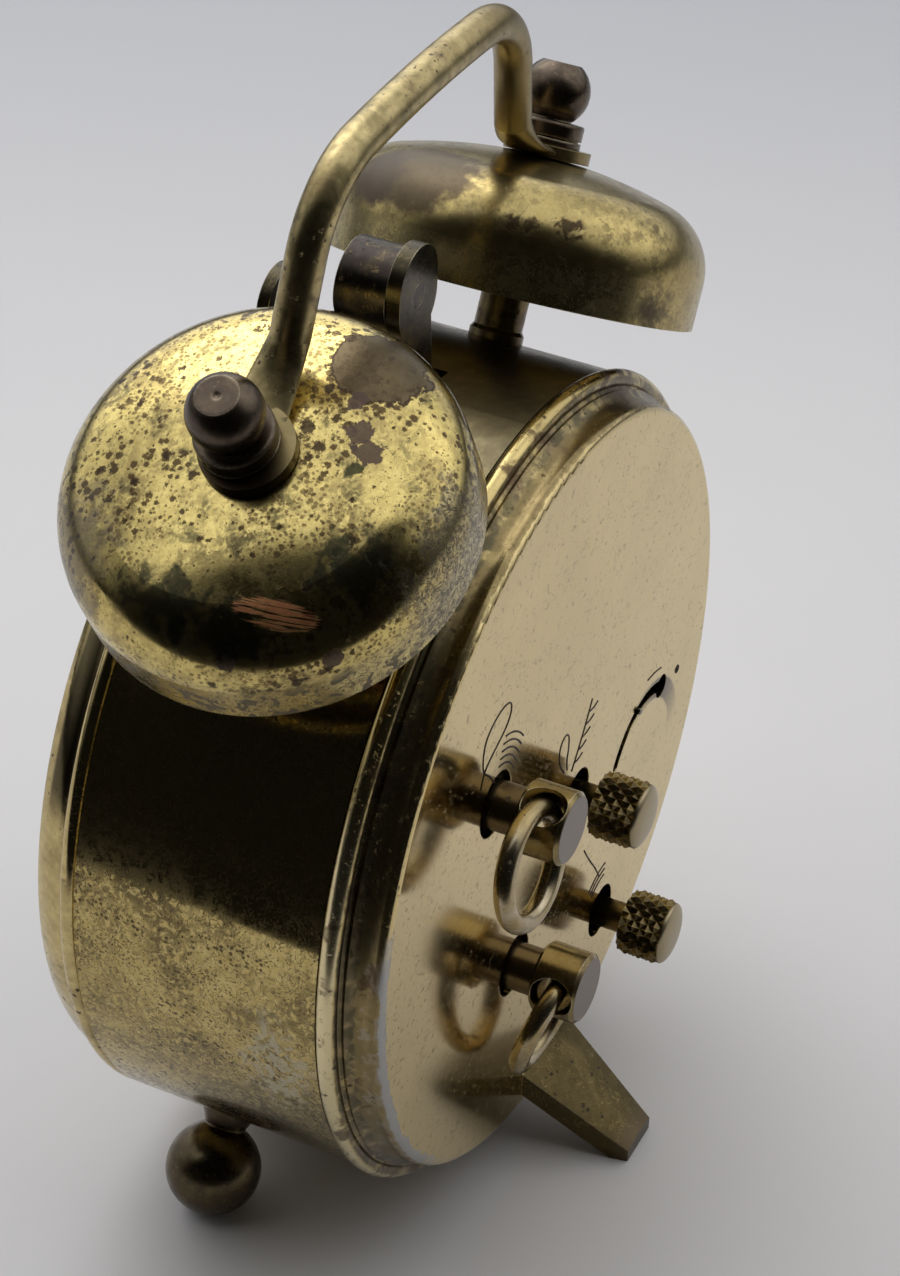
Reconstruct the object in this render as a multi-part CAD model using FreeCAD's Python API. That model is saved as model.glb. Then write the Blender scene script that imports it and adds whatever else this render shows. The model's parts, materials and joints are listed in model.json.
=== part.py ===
# Wind-up twin-bell alarm clock, one file per piece. Millimetres, Z up.
# Everything is drawn about the axis of the drum, which lies along Y with the dial towards -Y,
# and is moved at the end so that the origin is on the ground under the middle of the clock.
import FreeCAD
import Part
import math
import os

V = FreeCAD.Vector

# Drum and what it stands on
drum_r = 27.66
drum_wall = 0.5
drum_front = -17.6
drum_back = -0.65
under_drum = 1.84
fit_gap = 0.06
free_gap = 0.3
run_gap = 0.05

# Back cover, a pressed cap with a bead where it meets the drum
cover_face = 3.12
cover_sheet = 0.5
cover_flat_in = 1.96
cover_edge_round = 0.6
cover_flare_in = 0.76
cover_flare_y = 0.95
cove_bulge = 0.12
cove_y = 1.5
groove_in = 0.12
groove_y = 0.72
spigot_root_y = 0.3
bead_r = 0.65
bead_reach = 0.34
spigot_wall = 0.5
spigot_depth = 1.95
key_opening_r = 2.3
knob_opening_r = 2.0

# Front bezel and glass
bezel_length = 3.6
bezel_front_in = 1.66
bezel_lip_w = 1.8
bezel_bore_in = 2.11
bezel_belly_out = 0.55
bezel_belly_at = 0.85
bezel_groove = 0.1
bezel_shelf = 0.6
bezel_taper = 0.6
glass_wall = 0.6
glass_rise = 1.2
glass_edge = 1.25
lip_sheet = 0.3

# Dial and hands
dial_face = -17.7
dial_sheet = 0.4
dial_ring_wall = 1.2
hand_sheet = 0.2
hand_step = 0.4
dial_hand_gap = 0.25
minute_short = 3.7
minute_tail = 5.0
minute_w = 1.5
hour_reach = 14.0
hour_tail = 4.0
hour_w = 2.0
alarm_reach = 9.5
alarm_tail = 0.5
alarm_w = 0.9
hand_boss = 0.9
hand_taper_at = 0.55
minute_at = 60.0
hour_at = 305.0
alarm_at = 180.0

# Bells
bell_tilt = 28.8
bell_axis_x = 1.15
bell_y = -9.3
bell_clear = 3.09
bell_r = 12.55
bell_h = 8.8
bell_wall = 0.6
bell_skirt = 3.0
bell_shoulder = 4.7
post_r = 1.65
post_foot_r = 1.85
post_foot_h = 0.5
post_cone_h = 0.3
stud_r = 1.0
nut_flats = 3.6
nut_h = 1.5
thread_out = 0.25

# Ball finials
flange_r = 2.45
flange_h = 0.45
finial_groove_r = 2.25
finial_groove_w = 0.12
collar_r = 2.45
collar_top_at = 1.6
collar_round = 0.2
finial_neck_r = 1.45
finial_ball_r = 2.31
finial_bore = 4.25
finial_ball_at = 3.45
finial_top_r = 1.3
dimple_r = 0.3

# Carrying handle
rod_r = 1.225
eye_r = 2.9
eye_shift = 0.4
eye_h = 0.8
leg_lean = 14.3
corner_r = 6.4
corner_x = 7.6
handle_rise = 21.74
handle_crown_r = 110.0
handle_lean = 4.5
handle_root_up = 10.24
handle_y = -9.2
eye_neck_w = 1.9
eye_neck_at = 2.0
eye_neck_h = 0.336
eye_rise_at = 4.3
eye_rise = 0.3
eye_rise_w = 1.615
eye_rise_h = 0.6
eye_rise_lean = 0.1
rod_start_up = 1.9

# Hammer and alarm stop
hammer_x = -9.5
hammer_z = -3.9
knee_x = -1.0
knee_in = 10.66
arm_y = -9.0
arm_sheet = 1.0
arm_w = 3.2
arm_top_w = 5.2
arm_top_up = 10.64
arm_wide_up = 6.9
arm_top_x = 0.4
hammer_swing = 3.0
head_r = 2.75
head_l = 3.5
head_up = 7.34
rivet_r = 0.8
slot_reach = 3.0
tab_x = 2.4
tab_pivot_in = 9.66
tab_top_up = 8.04
tab_w = 5.0
tab_stem_w = 3.4
tab_sheet = 0.8
tab_slot_gap = 0.2
tab_shoulder_in = 0.5
tab_y = -16.9
tab_swing_in = 5.0
tab_swing_out = 2.0

# Feet and rear leg
foot_out = 4.536
foot_y = -13.25
foot_ball_r = 3.3
foot_sink = 0.15
foot_neck_r = 1.4
foot_flare_r = 2.0
foot_flare_h = 0.25
leg_root_w = 7.2
leg_tip_w = 3.8
leg_root_in = 4.86
leg_tip_y = 10.8
leg_drop = 5.45
leg_sheet = 2.2
leg_crown = 0.3

# Winding keys with loose rings
time_key_x = 10.5
time_key_z = 6.4
alarm_key_x = 6.2
alarm_key_z = -10.6
key_stem_r = 1.65
key_head_r = 2.45
key_head_l = 3.3
key_head_y = 5.2
key_bevel = 0.25
key_hole_r = 1.2
key_hole_mouth = 1.9
key_flare = 0.65
time_hole_turn = 63.0
alarm_hole_turn = 10.0
ring_r = 3.65
ring_wire_r = 0.7
ring_hang = 3.22
time_ring_lift = 2.0
alarm_ring_lift = -15.3
time_ring_twist = 6.5
alarm_ring_twist = -1.0
winding_arbor_r = 1.5

# Setting knobs
time_set_x = -3.1
time_set_z = -2.7
alarm_set_x = -9.0
alarm_set_z = -17.6
knob_r = 2.4
time_knob_y = 4.9
alarm_knob_y = 5.35
knurl_l = 3.1
knurl_depth = 0.25
knurl_count = 20
knurl_root_share = 0.9
knurl_tip_share = 0.25
knob_dome = 0.5
knob_dome_mid = 0.7
knob_dome_share = 0.75
knob_stem_r = 1.1
arbor_step = 0.2

# Regulator
balance_x = -14.8
balance_z = -8.15
slot_r = 5.7
slot_w = 0.85
slot_low = 32.4
slot_high = 121.7
slot_bulb_r = 0.9
pin_r = 0.25
index_sheet = 0.4
index_w = 1.4
index_y = 0.6
pin_out = 0.25

# Movement
front_plate_y = -12.6
plate_sheet = 0.8
rear_plate_y = -1.0
rear_plate_in = 0.76
pillar_r = 1.4
pillar_end_r = 1.0
pillar_circle_in = 5.66
pillar_turns = (20.0, 160.0, 270.0)
dial_foot_r = 0.8
dial_foot_in = 6.26
dial_foot_turn = 37.4
centre_r = 0.5
centre_end_in = 0.3
pipe_wall = 0.4
pivot_r = 0.6
wheel_sheet = 0.7
layer_step = 1.0
first_layer = -13.2
cannon_teeth = 10
minute_wheel_teeth = 30
minute_pinion_teeth = 8
hour_wheel_teeth = 32
alarm_pinion_teeth = 10
idler_teeth = 40
alarm_wheel_teeth = 42
tooth_out = 0.8
tooth_in = 1.1
tooth_share = 0.38
tooth_root_wider = 0.16
tooth_tip_narrower = 0.14

# Sizes that follow
floor_z = -(drum_r + under_drum)
cover_flat_r = drum_r - cover_flat_in
cover_flare_r = drum_r - cover_flare_in
bezel_front_r = drum_r - bezel_front_in
bezel_lip_r = bezel_front_r - bezel_lip_w
bezel_bore_r = drum_r - bezel_bore_in
drum_bore_r = drum_r - drum_wall
spigot_r = drum_bore_r - fit_gap
spigot_bore_r = spigot_r - spigot_wall
cover_inside = cover_face - cover_sheet
bezel_front = drum_front - bezel_length
glass_front = bezel_front + glass_edge
glass_back = glass_front + glass_wall
hand_base = dial_face - dial_hand_gap
minute_reach = bezel_lip_r - minute_short
bell_lip = drum_r + bell_clear
handle_top = drum_r + handle_rise
handle_root_z = drum_r + handle_root_up
knee_z = drum_r - knee_in
arm_top_z = drum_r + arm_top_up
head_z = drum_r + head_up
tab_pivot_z = drum_r - tab_pivot_in
tab_top_z = drum_r + tab_top_up
leg_root_z = leg_root_in - drum_r
foot_z = floor_z + foot_ball_r - foot_sink
foot_x = math.sqrt((drum_r + foot_out) ** 2 - foot_z ** 2)
tilt = math.radians(bell_tilt)
crown_drop = bell_h - bell_skirt
crown_run = bell_r - bell_shoulder
bell_crown_r = (crown_run ** 2 + crown_drop ** 2 - bell_shoulder ** 2) / (2 * (crown_drop - bell_shoulder))
bell_top = bell_lip + bell_h
front_plate_r = drum_bore_r - nut_h - thread_out - free_gap
rear_plate_r = drum_bore_r - rear_plate_in
pillar_circle_r = drum_r - pillar_circle_in
dial_foot_x = (drum_r - dial_foot_in) * math.cos(math.radians(dial_foot_turn))
dial_foot_z = (drum_r - dial_foot_in) * math.sin(math.radians(dial_foot_turn))


def circle_point(x, y, r, degrees):
    """A point on a circle, as a pair."""
    return (x + r * math.cos(math.radians(degrees)), y + r * math.sin(math.radians(degrees)))


def outline(start, steps):
    """A closed wire in the XY plane: a step is an end point, or the middle and end of an arc."""
    edges = []
    here = V(start[0], start[1], 0)
    for step in list(steps) + [start]:
        if isinstance(step[0], tuple):
            there = V(step[1][0], step[1][1], 0)
            edges.append(Part.Arc(here, V(step[0][0], step[0][1], 0), there).toShape())
        else:
            there = V(step[0], step[1], 0)
            edges.append(Part.LineSegment(here, there).toShape())
        here = there
    return Part.Wire(edges)


def lathe(start, steps):
    """A turned solid about the Y axis: outline points are radius and Y."""
    return Part.Face(outline(start, steps)).revolve(V(0, 0, 0), V(0, 1, 0), 360)


def cylinder(r, y0, y1, x=0.0, z=0.0):
    """A round bar along Y."""
    return Part.makeCylinder(r, y1 - y0, V(x, y0, z), V(0, 1, 0))


def tube(r_out, r_in, y0, y1, x=0.0, z=0.0):
    """A round tube along Y."""
    return cylinder(r_out, y0, y1, x, z).cut(cylinder(r_in, y0, y1, x, z))


def flat(points, y0, y1):
    """A sheet of the given XZ outline between two Y values."""
    corners = [V(x, y0, z) for x, z in points]
    face = Part.Face(Part.makePolygon(corners + [corners[0]]))
    return face.extrude(V(0, y1 - y0, 0))


def bar(x0, z0, x1, z1, width, y0, y1):
    """A flat bar with round ends from one XZ point to another."""
    run = math.hypot(x1 - x0, z1 - z0)
    side_x = -(z1 - z0) / run * width / 2
    side_z = (x1 - x0) / run * width / 2
    corners = [
        (x0 + side_x, z0 + side_z),
        (x1 + side_x, z1 + side_z),
        (x1 - side_x, z1 - side_z),
        (x0 - side_x, z0 - side_z),
    ]
    ends = [cylinder(width / 2, y0, y1, x0, z0), cylinder(width / 2, y0, y1, x1, z1)]
    return flat(corners, y0, y1).fuse(ends).removeSplitter()


def toothed(teeth, r_root, r_tip, root_share, tip_share, turn, y0, y1, x=0.0, z=0.0):
    """A toothed disc with straight flanks, with one tooth centred at the given turn."""
    pitch = 360.0 / teeth
    points = []
    for i in range(teeth):
        middle = turn + i * pitch
        points.append(circle_point(x, z, r_root, middle - root_share * pitch / 2))
        points.append(circle_point(x, z, r_tip, middle - tip_share * pitch / 2))
        points.append(circle_point(x, z, r_tip, middle + tip_share * pitch / 2))
        points.append(circle_point(x, z, r_root, middle + root_share * pitch / 2))
    return flat(points, y0, y1)


def gear(teeth, module, turn, y0, y1, x=0.0, z=0.0):
    """A clock wheel or pinion with thin straight-sided teeth."""
    pitch_r = teeth * module / 2
    root_share = tooth_share + tooth_root_wider
    tip_share = tooth_share - tooth_tip_narrower
    return toothed(
        teeth,
        pitch_r - tooth_in * module,
        pitch_r + tooth_out * module,
        root_share,
        tip_share,
        turn,
        y0,
        y1,
        x,
        z,
    )


def heading(x0, z0, x1, z1):
    """The direction from one XZ point to another, in degrees from +X."""
    return math.degrees(math.atan2(z1 - z0, x1 - x0))


def along(shape, x, y, z, direction):
    """A shape drawn along Y, stood at a point along a direction."""
    moved = shape.copy()
    moved.Placement = FreeCAD.Placement(V(x, y, z), FreeCAD.Rotation(V(0, 1, 0), direction))
    return moved


def on_bell_axis(shape, side):
    """A shape drawn along Y, put on the axis of one bell."""
    return along(shape, side * bell_axis_x, bell_y, 0, V(side * math.sin(tilt), 0, math.cos(tilt)))


def on_foot_axis(shape, side):
    """A shape drawn along Y, put on the axis of one ball foot."""
    return along(shape, 0, foot_y, 0, V(side * foot_x, 0, foot_z))


def bell_axis_wall():
    """Distance along a bell's axis at which it leaves the bore of the drum."""
    back = bell_axis_x * math.sin(tilt)
    return math.sqrt(back ** 2 + drum_bore_r ** 2 - bell_axis_x ** 2) - back


def hex_nut(y0, y1):
    """A hexagon nut along Y."""
    corner = nut_flats / math.sqrt(3)
    points = [circle_point(0, 0, corner, 60 * i) for i in range(6)]
    return flat(points, y0, y1).cut(cylinder(stud_r + fit_gap, y0, y1))


def drum():
    """The round wall of the case, with its slots and holes."""
    wall = tube(drum_r, drum_bore_r, drum_front, drum_back)
    for side in (-1, 1):
        stud = cylinder(stud_r + fit_gap, drum_bore_r - slot_reach, drum_r + slot_reach)
        wall = wall.cut(on_bell_axis(stud, side))
        wall = wall.cut(on_foot_axis(stud, side))
    return wall.cut(hammer_slot()).cut(tab_slot())


def hammer_slot():
    """The room that the hammer arm needs where it passes the wall."""
    reach = math.hypot(arm_top_x - hammer_x, drum_r - hammer_z) * math.sin(math.radians(hammer_swing))
    half = arm_w / 2 + reach + 2 * free_gap
    depth = arm_sheet + 2 * free_gap
    corner = V(arm_top_x - half, arm_y - free_gap, drum_bore_r - slot_reach)
    return Part.makeBox(2 * half, depth, 2 * slot_reach, corner)


def tab_slot():
    """The room that the alarm stop needs where it passes the wall."""
    height = drum_r - tab_pivot_z
    inward = height * math.tan(math.radians(tab_swing_in))
    outward = height * math.tan(math.radians(tab_swing_out))
    left = tab_x - tab_w / 2 - inward - free_gap
    right = tab_x + tab_w / 2 + outward + free_gap
    depth = tab_sheet + 2 * tab_slot_gap
    corner = V(left, tab_y - tab_slot_gap, drum_bore_r - slot_reach)
    return Part.makeBox(right - left, depth, 2 * slot_reach, corner)


def back_cover():
    """The pressed back with its bead, and the openings for keys, knobs and regulator."""
    bead_x = drum_r + bead_reach - bead_r
    edge = cover_edge_round
    edge_x = cover_flat_r
    round_y = cover_face - edge
    inner = edge / 2
    solid = lathe(
        (0, cover_face),
        [
            (edge_x, cover_face),
            (circle_point(edge_x, round_y, edge, 45), (edge_x + edge, round_y)),
            ((edge_x + edge + cove_bulge, cove_y), (cover_flare_r, cover_flare_y)),
            (cover_flare_r - groove_in, groove_y),
            circle_point(bead_x, 0, bead_r, 125),
            (circle_point(bead_x, 0, bead_r, 15), (bead_x, drum_back)),
            (spigot_r, drum_back),
            (spigot_r, drum_back - spigot_depth),
            (spigot_bore_r, drum_back - spigot_depth),
            (spigot_bore_r, spigot_root_y),
            (edge_x + inner, round_y - edge / 3),
            (circle_point(edge_x, cover_inside - inner, inner, 45), (edge_x, cover_inside)),
            (0, cover_inside),
        ],
    )
    for x, z, r in cover_openings():
        solid = solid.cut(cylinder(r, cover_inside - cover_sheet, cover_face + cover_sheet, x, z))
    return solid.cut(regulator_slot())


def cover_openings():
    """Where keys and knobs pass the back cover, with the radius of each hole."""
    return [
        (time_key_x, time_key_z, key_opening_r),
        (alarm_key_x, alarm_key_z, key_opening_r),
        (time_set_x, time_set_z, knob_opening_r),
        (alarm_set_x, alarm_set_z, knob_opening_r),
    ]


def regulator_slot():
    """The curved slot about the balance, with a round end for the index."""
    y0 = cover_inside - cover_sheet
    y1 = cover_face + cover_sheet
    band = tube(slot_r + slot_w / 2, slot_r - slot_w / 2, y0, y1, balance_x, balance_z)
    far = 4 * slot_r
    wedge = [(balance_x, balance_z)]
    for i in range(5):
        turn = slot_low + (slot_high - slot_low) * i / 4
        wedge.append(circle_point(balance_x, balance_z, far, turn))
    low_x, low_z = circle_point(balance_x, balance_z, slot_r, slot_low)
    high_x, high_z = circle_point(balance_x, balance_z, slot_r, slot_high)
    ends = [cylinder(slot_w / 2, y0, y1, low_x, low_z), cylinder(slot_bulb_r, y0, y1, high_x, high_z)]
    return band.common(flat(wedge, y0, y1)).fuse(ends)


def front_bezel():
    """The bezel: a bead, a rounded band and the lip over the glass."""
    bead_x = drum_r - bead_r
    bead_y = drum_front - bead_r
    groove = bead_y - bead_r
    belly = (bezel_front_r + bezel_belly_out, bezel_front + bezel_belly_at)
    lip_back = (bezel_lip_r + lip_sheet / 2, bezel_front + 2 * lip_sheet)
    solid = lathe(
        (spigot_bore_r, drum_front + spigot_depth),
        [
            (spigot_r, drum_front + spigot_depth),
            (spigot_r, drum_front),
            (bead_x, drum_front),
            ((bead_x + bead_r, bead_y), circle_point(bead_x, bead_y, bead_r, -60)),
            (bead_x - bezel_groove, groove),
            (belly, (bezel_front_r, bezel_front)),
            (bezel_lip_r + lip_sheet, bezel_front),
            ((bezel_lip_r, bezel_front + lip_sheet), lip_back),
            (bezel_lip_r + lip_sheet, glass_front),
            (bezel_bore_r, glass_front),
            (bezel_bore_r, drum_front + bezel_shelf),
            (spigot_bore_r, drum_front + bezel_shelf + bezel_taper),
        ],
    )
    return solid.cut(tab_slot().fuse(tab_slot().translated(V(0, spigot_depth, 0))))


def crystal():
    """The domed glass, with a flat rim under the bezel's lip."""
    r = bezel_bore_r - fit_gap
    dome_r = bezel_lip_r - fit_gap
    curve = (dome_r ** 2 + glass_rise ** 2) / (2 * glass_rise)
    half_turn = math.degrees(math.asin(dome_r / curve)) / 2
    front_mid = circle_point(0, glass_front - glass_rise + curve, curve, half_turn - 90)
    back_mid = circle_point(0, glass_back - glass_rise + curve, curve, half_turn - 90)
    return lathe(
        (0, glass_front - glass_rise),
        [
            (front_mid, (dome_r, glass_front)),
            (r, glass_front),
            (r, glass_back),
            (dome_r, glass_back),
            (back_mid, (0, glass_back - glass_rise)),
        ],
    )


def dial_ring():
    """The ring between the glass and the dial."""
    r = bezel_bore_r - fit_gap
    return tube(r, r - dial_ring_wall, glass_back, dial_face)


def dial():
    """The dial sheet with its two feet."""
    back = dial_face + dial_sheet
    sheet = tube(bezel_bore_r - fit_gap, alarm_pipe_r() + free_gap / 2, dial_face, back)
    feet = []
    end = front_plate_y + plate_sheet
    for side in (-1, 1):
        feet.append(cylinder(dial_foot_r, back, end, side * dial_foot_x, side * dial_foot_z))
    return sheet.fuse(feet)


def cannon_pipe_r():
    """Outside of the pipe that carries the minute hand."""
    return centre_r + run_gap + pipe_wall


def hour_pipe_r():
    """Outside of the pipe that carries the hour hand."""
    return cannon_pipe_r() + run_gap + pipe_wall


def alarm_pipe_r():
    """Outside of the pipe that carries the alarm hand."""
    return hour_pipe_r() + run_gap + pipe_wall


def bell_section(inset):
    """Outline points of one face of the bell: crown arc, shoulder arc and skirt."""
    centre_h = bell_h - bell_crown_r
    crown = bell_crown_r - inset
    shoulder = bell_shoulder - inset
    join = math.degrees(math.atan2(bell_skirt - centre_h, crown_run))
    top = bell_lip + centre_h
    return {
        "apex": (0, top + crown),
        "crown": circle_point(0, top, crown, (90 + join) / 2),
        "join": circle_point(0, top, crown, join),
        "shoulder": circle_point(crown_run, bell_lip + bell_skirt, shoulder, join / 2),
        "skirt": (crown_run + shoulder, bell_lip + bell_skirt),
        "lip": (crown_run + shoulder, bell_lip),
    }


def bell(side):
    """One bell: a turned shell with a hole for the post's stud."""
    out = bell_section(0)
    inn = bell_section(bell_wall)
    shell = lathe(
        out["apex"],
        [
            (out["crown"], out["join"]),
            (out["shoulder"], out["skirt"]),
            out["lip"],
            inn["lip"],
            inn["skirt"],
            (inn["shoulder"], inn["join"]),
            (inn["crown"], inn["apex"]),
        ],
    )
    shell = shell.cut(cylinder(stud_r + fit_gap, bell_top - 3 * bell_wall, bell_top + bell_wall))
    return on_bell_axis(shell, side)


def bell_post(side):
    """The turned post from the drum to the crown of the bell, with its stud."""
    inner_crown = bell_crown_r - bell_wall
    sag = inner_crown - math.sqrt(inner_crown ** 2 - post_r ** 2)
    wall = bell_axis_wall()
    seat = wall + drum_wall
    top = bell_top - bell_wall - sag
    thread_top = bell_top + eye_h + finial_bore
    turned = lathe(
        (0, wall),
        [
            (post_foot_r, wall),
            (post_foot_r, seat + post_foot_h),
            (post_r, seat + post_foot_h + post_cone_h),
            (post_r, top),
            (stud_r, top),
            (stud_r, thread_top),
            (0, thread_top),
        ],
    )
    turned = on_bell_axis(turned, side).cut(cylinder(drum_r, drum_front, drum_back))
    stud = on_bell_axis(cylinder(stud_r, wall - nut_h - thread_out, seat + post_foot_h), side)
    return turned.fuse(stud).removeSplitter()


def stud_nuts():
    """The nuts inside the drum on the studs of the posts and feet."""
    bore = cylinder(drum_bore_r, drum_front, drum_back)
    nuts = []
    for side in (-1, 1):
        wall = bell_axis_wall()
        nuts.append(on_bell_axis(hex_nut(wall - nut_h, wall + drum_wall), side).common(bore))
        nuts.append(on_foot_axis(hex_nut(drum_bore_r - nut_h, drum_r), side).common(bore))
    return Part.makeCompound([nut.Solids[0] for nut in nuts])


def finial(side):
    """The ball finial: flange, grooved collar and ball with a flat top and a dimple."""
    base = bell_top + eye_h
    ball = base + finial_ball_at
    collar = base + flange_h + finial_groove_w
    shoulder = base + collar_top_at - collar_round
    rounded = circle_point(collar_r - collar_round, shoulder, collar_round, 45)
    lower = ball - math.sqrt(finial_ball_r ** 2 - finial_neck_r ** 2)
    upper = ball + math.sqrt(finial_ball_r ** 2 - finial_top_r ** 2)
    turned = lathe(
        (0, base),
        [
            (flange_r, base),
            (flange_r, base + flange_h),
            (finial_groove_r, base + flange_h),
            (finial_groove_r, collar),
            (collar_r, collar),
            (collar_r, shoulder),
            (rounded, (collar_r - collar_round, base + collar_top_at)),
            (finial_neck_r, lower),
            ((finial_ball_r, ball), (finial_top_r, upper)),
            (dimple_r, upper),
            (0, upper - dimple_r / 2),
        ],
    )
    turned = turned.cut(cylinder(stud_r + fit_gap, base, base + finial_bore + fit_gap))
    return on_bell_axis(turned, side)


def carry_handle():
    """The bent rod with its flattened ends drawn out into eyes under the finials."""
    lean = math.radians(leg_lean)
    corner_z = handle_top - handle_crown_r
    corner_z += math.sqrt((handle_crown_r - corner_r) ** 2 - corner_x ** 2)
    crown_z = handle_top - handle_crown_r
    crown_turn = math.degrees(math.atan2(corner_z - crown_z, corner_x))
    eye_x = bell_axis_x + (bell_top + eye_h / 2) * math.sin(tilt)
    eye_z = (bell_top + eye_h / 2) * math.cos(tilt)
    leg_top = circle_point(corner_x, corner_z, corner_r, leg_lean)
    # The eye's line and the leg's line cross at the root of the leg.
    gap_x = eye_x - leg_top[0]
    gap_z = eye_z - leg_top[1]
    turn = math.sin(lean) * -math.sin(tilt) + math.cos(lean) * math.cos(tilt)
    run = (gap_x * math.cos(lean) + gap_z * math.sin(lean)) / turn
    root_x = eye_x - run * math.cos(tilt)
    root_z = eye_z + run * math.sin(tilt)
    slope = math.tan(math.radians(handle_lean))

    def leaned(x, z):
        return V(x, handle_y + (z - handle_root_z) * slope, z)

    start = leaned(root_x - rod_start_up * math.sin(lean), root_z + rod_start_up * math.cos(lean))
    middle = circle_point(corner_x, corner_z, corner_r, (leg_lean + crown_turn) / 2)
    join = circle_point(0, crown_z, handle_crown_r, crown_turn)
    crown_middle = circle_point(0, crown_z, handle_crown_r, (90 + crown_turn) / 2)
    path = Part.Wire([
        Part.LineSegment(start, leaned(*leg_top)).toShape(),
        Part.Arc(leaned(*leg_top), leaned(*middle), leaned(*join)).toShape(),
        Part.Arc(leaned(*join), leaned(*crown_middle), leaned(0, handle_top)).toShape(),
    ])
    leg_way = (leaned(*leg_top) - start).normalize()
    across = leg_way.cross(V(1, 0, 0).cross(leg_way)).normalize()
    rod_end = ellipse(start, rod_r, rod_r, leg_way.cross(across), across)
    rod = path.makePipeShell([rod_end], True, False)
    half = rod.fuse(eye(rod_end)).removeSplitter()
    return half.fuse(half.mirror(V(0, 0, 0), V(1, 0, 0))).removeSplitter()


def ellipse(centre, wide, high, across, up):
    """An ellipse or circle as a wire, wide along one direction and high along another."""
    curve = Part.Circle(V(0, 0, 0), V(0, 0, 1), high)
    if wide > high:
        curve = Part.Ellipse(V(wide, 0, 0), V(0, high, 0), V(0, 0, 0))
    edge = curve.toShape()
    rotation = FreeCAD.Rotation(V(across), V(up), V(across).cross(up), "ZXY")
    edge.Placement = FreeCAD.Placement(V(centre), rotation)
    return Part.Wire(edge)


def eye(rod_end):
    """The flat eye on the right bell's axis, and the flattened neck that joins it to the rod."""
    outward = V(math.cos(tilt), 0, -math.sin(tilt))
    up = V(math.sin(tilt), 0, math.cos(tilt))
    across = V(0, 1, 0)
    centre = V(bell_axis_x, bell_y, 0) + up * (bell_top + eye_h / 2)
    near = centre - outward * eye_neck_at
    far = centre - outward * eye_rise_at + up * eye_rise
    sections = [
        ellipse(near, eye_neck_w, eye_neck_h, across, up),
        ellipse(far, eye_rise_w, eye_rise_h, across, up + outward * eye_rise_lean),
        rod_end,
    ]
    neck = Part.makeLoft(sections, True, False)
    plate = on_bell_axis(cylinder(eye_r, bell_top, bell_top + eye_h), 1)
    plate.translate(V(0, eye_shift, 0))
    hole = on_bell_axis(cylinder(stud_r + fit_gap, bell_top - eye_h, bell_top + 3 * eye_h), 1)
    return plate.fuse(neck).cut(hole)


def foot(side):
    """A turned ball foot with a flared neck, a stud and a small flat to stand on."""
    ball = math.hypot(foot_x, foot_z)
    neck_end = ball - math.sqrt(foot_ball_r ** 2 - foot_neck_r ** 2)
    turned = lathe(
        (0, drum_bore_r),
        [
            (foot_flare_r, drum_bore_r),
            (foot_flare_r, drum_r + foot_flare_h),
            (foot_neck_r, neck_end),
            ((foot_ball_r, ball), (0, ball + foot_ball_r)),
        ],
    )
    turned = on_foot_axis(turned, side).cut(cylinder(drum_r, drum_front, drum_back))
    stud = on_foot_axis(cylinder(stud_r, drum_bore_r - nut_h - thread_out, ball), side)
    wide = 4 * foot_ball_r
    corner = V(side * foot_x - wide / 2, foot_y - wide / 2, floor_z - foot_ball_r)
    below = Part.makeBox(wide, wide, foot_ball_r, corner)
    return turned.fuse(stud).cut(below).removeSplitter()


def leg_section(y, width, top_z):
    """A slice of the rear leg: flat sides and bottom, and a slightly crowned top."""
    half = width / 2
    left = V(-half, y, top_z - leg_crown)
    right = V(half, y, top_z - leg_crown)
    low_left = V(-half, y, top_z - leg_sheet)
    low_right = V(half, y, top_z - leg_sheet)
    return Part.Wire([
        Part.Arc(left, V(0, y, top_z), right).toShape(),
        Part.LineSegment(right, low_right).toShape(),
        Part.LineSegment(low_right, low_left).toShape(),
        Part.LineSegment(low_left, left).toShape(),
    ])


def rear_leg():
    """The tapered tongue that props the clock from the lower edge of the back."""
    root = leg_section(cover_face, leg_root_w, leg_root_z)
    tip = leg_section(leg_tip_y, leg_tip_w, leg_root_z - leg_drop)
    tongue = Part.makeLoft([root, tip], True, True)
    corner = V(-leg_root_w / 2, 0, floor_z - leg_drop)
    below = Part.makeBox(leg_root_w, 2 * leg_tip_y, leg_drop, corner)
    return tongue.cut(below)


def winding_key(x, z, hole_turn):
    """A key: head with a cross hole for the ring, stem, and the arbor that it winds."""
    end = key_head_y + key_head_l
    half = key_head_r
    plate_out = front_plate_y + plate_sheet
    turned = lathe(
        (0, front_plate_y),
        [
            (stud_r, front_plate_y),
            (stud_r, plate_out + run_gap),
            (winding_arbor_r, plate_out + run_gap),
            (winding_arbor_r, cover_inside - free_gap),
            (key_stem_r, cover_inside - free_gap),
            (key_stem_r, key_head_y),
            (half - key_bevel, key_head_y),
            (half, key_head_y + key_bevel),
            (half, end - key_bevel),
            (half - key_bevel, end),
            (0, end),
        ],
    )
    turned.translate(V(x, 0, z))
    centre = key_hole_centre(x, z)
    way = key_hole_way(hole_turn)
    hole = Part.makeCylinder(key_hole_r, 4 * half, centre - way * (2 * half), way)
    for sign in (-1, 1):
        start = centre + way * (sign * (half - key_flare))
        mouth = Part.makeCone(key_hole_r, key_hole_mouth, key_flare * 2, start, way * sign)
        hole = hole.fuse(mouth)
    return turned.cut(hole)


def key_hole_centre(x, z):
    """The middle of a key's cross hole."""
    return V(x, key_head_y + key_head_l / 2, z)


def key_hole_way(hole_turn):
    """The direction of a cross hole, parallel to the back."""
    turn = math.radians(hole_turn)
    return V(math.cos(turn), 0, math.sin(turn))


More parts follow.
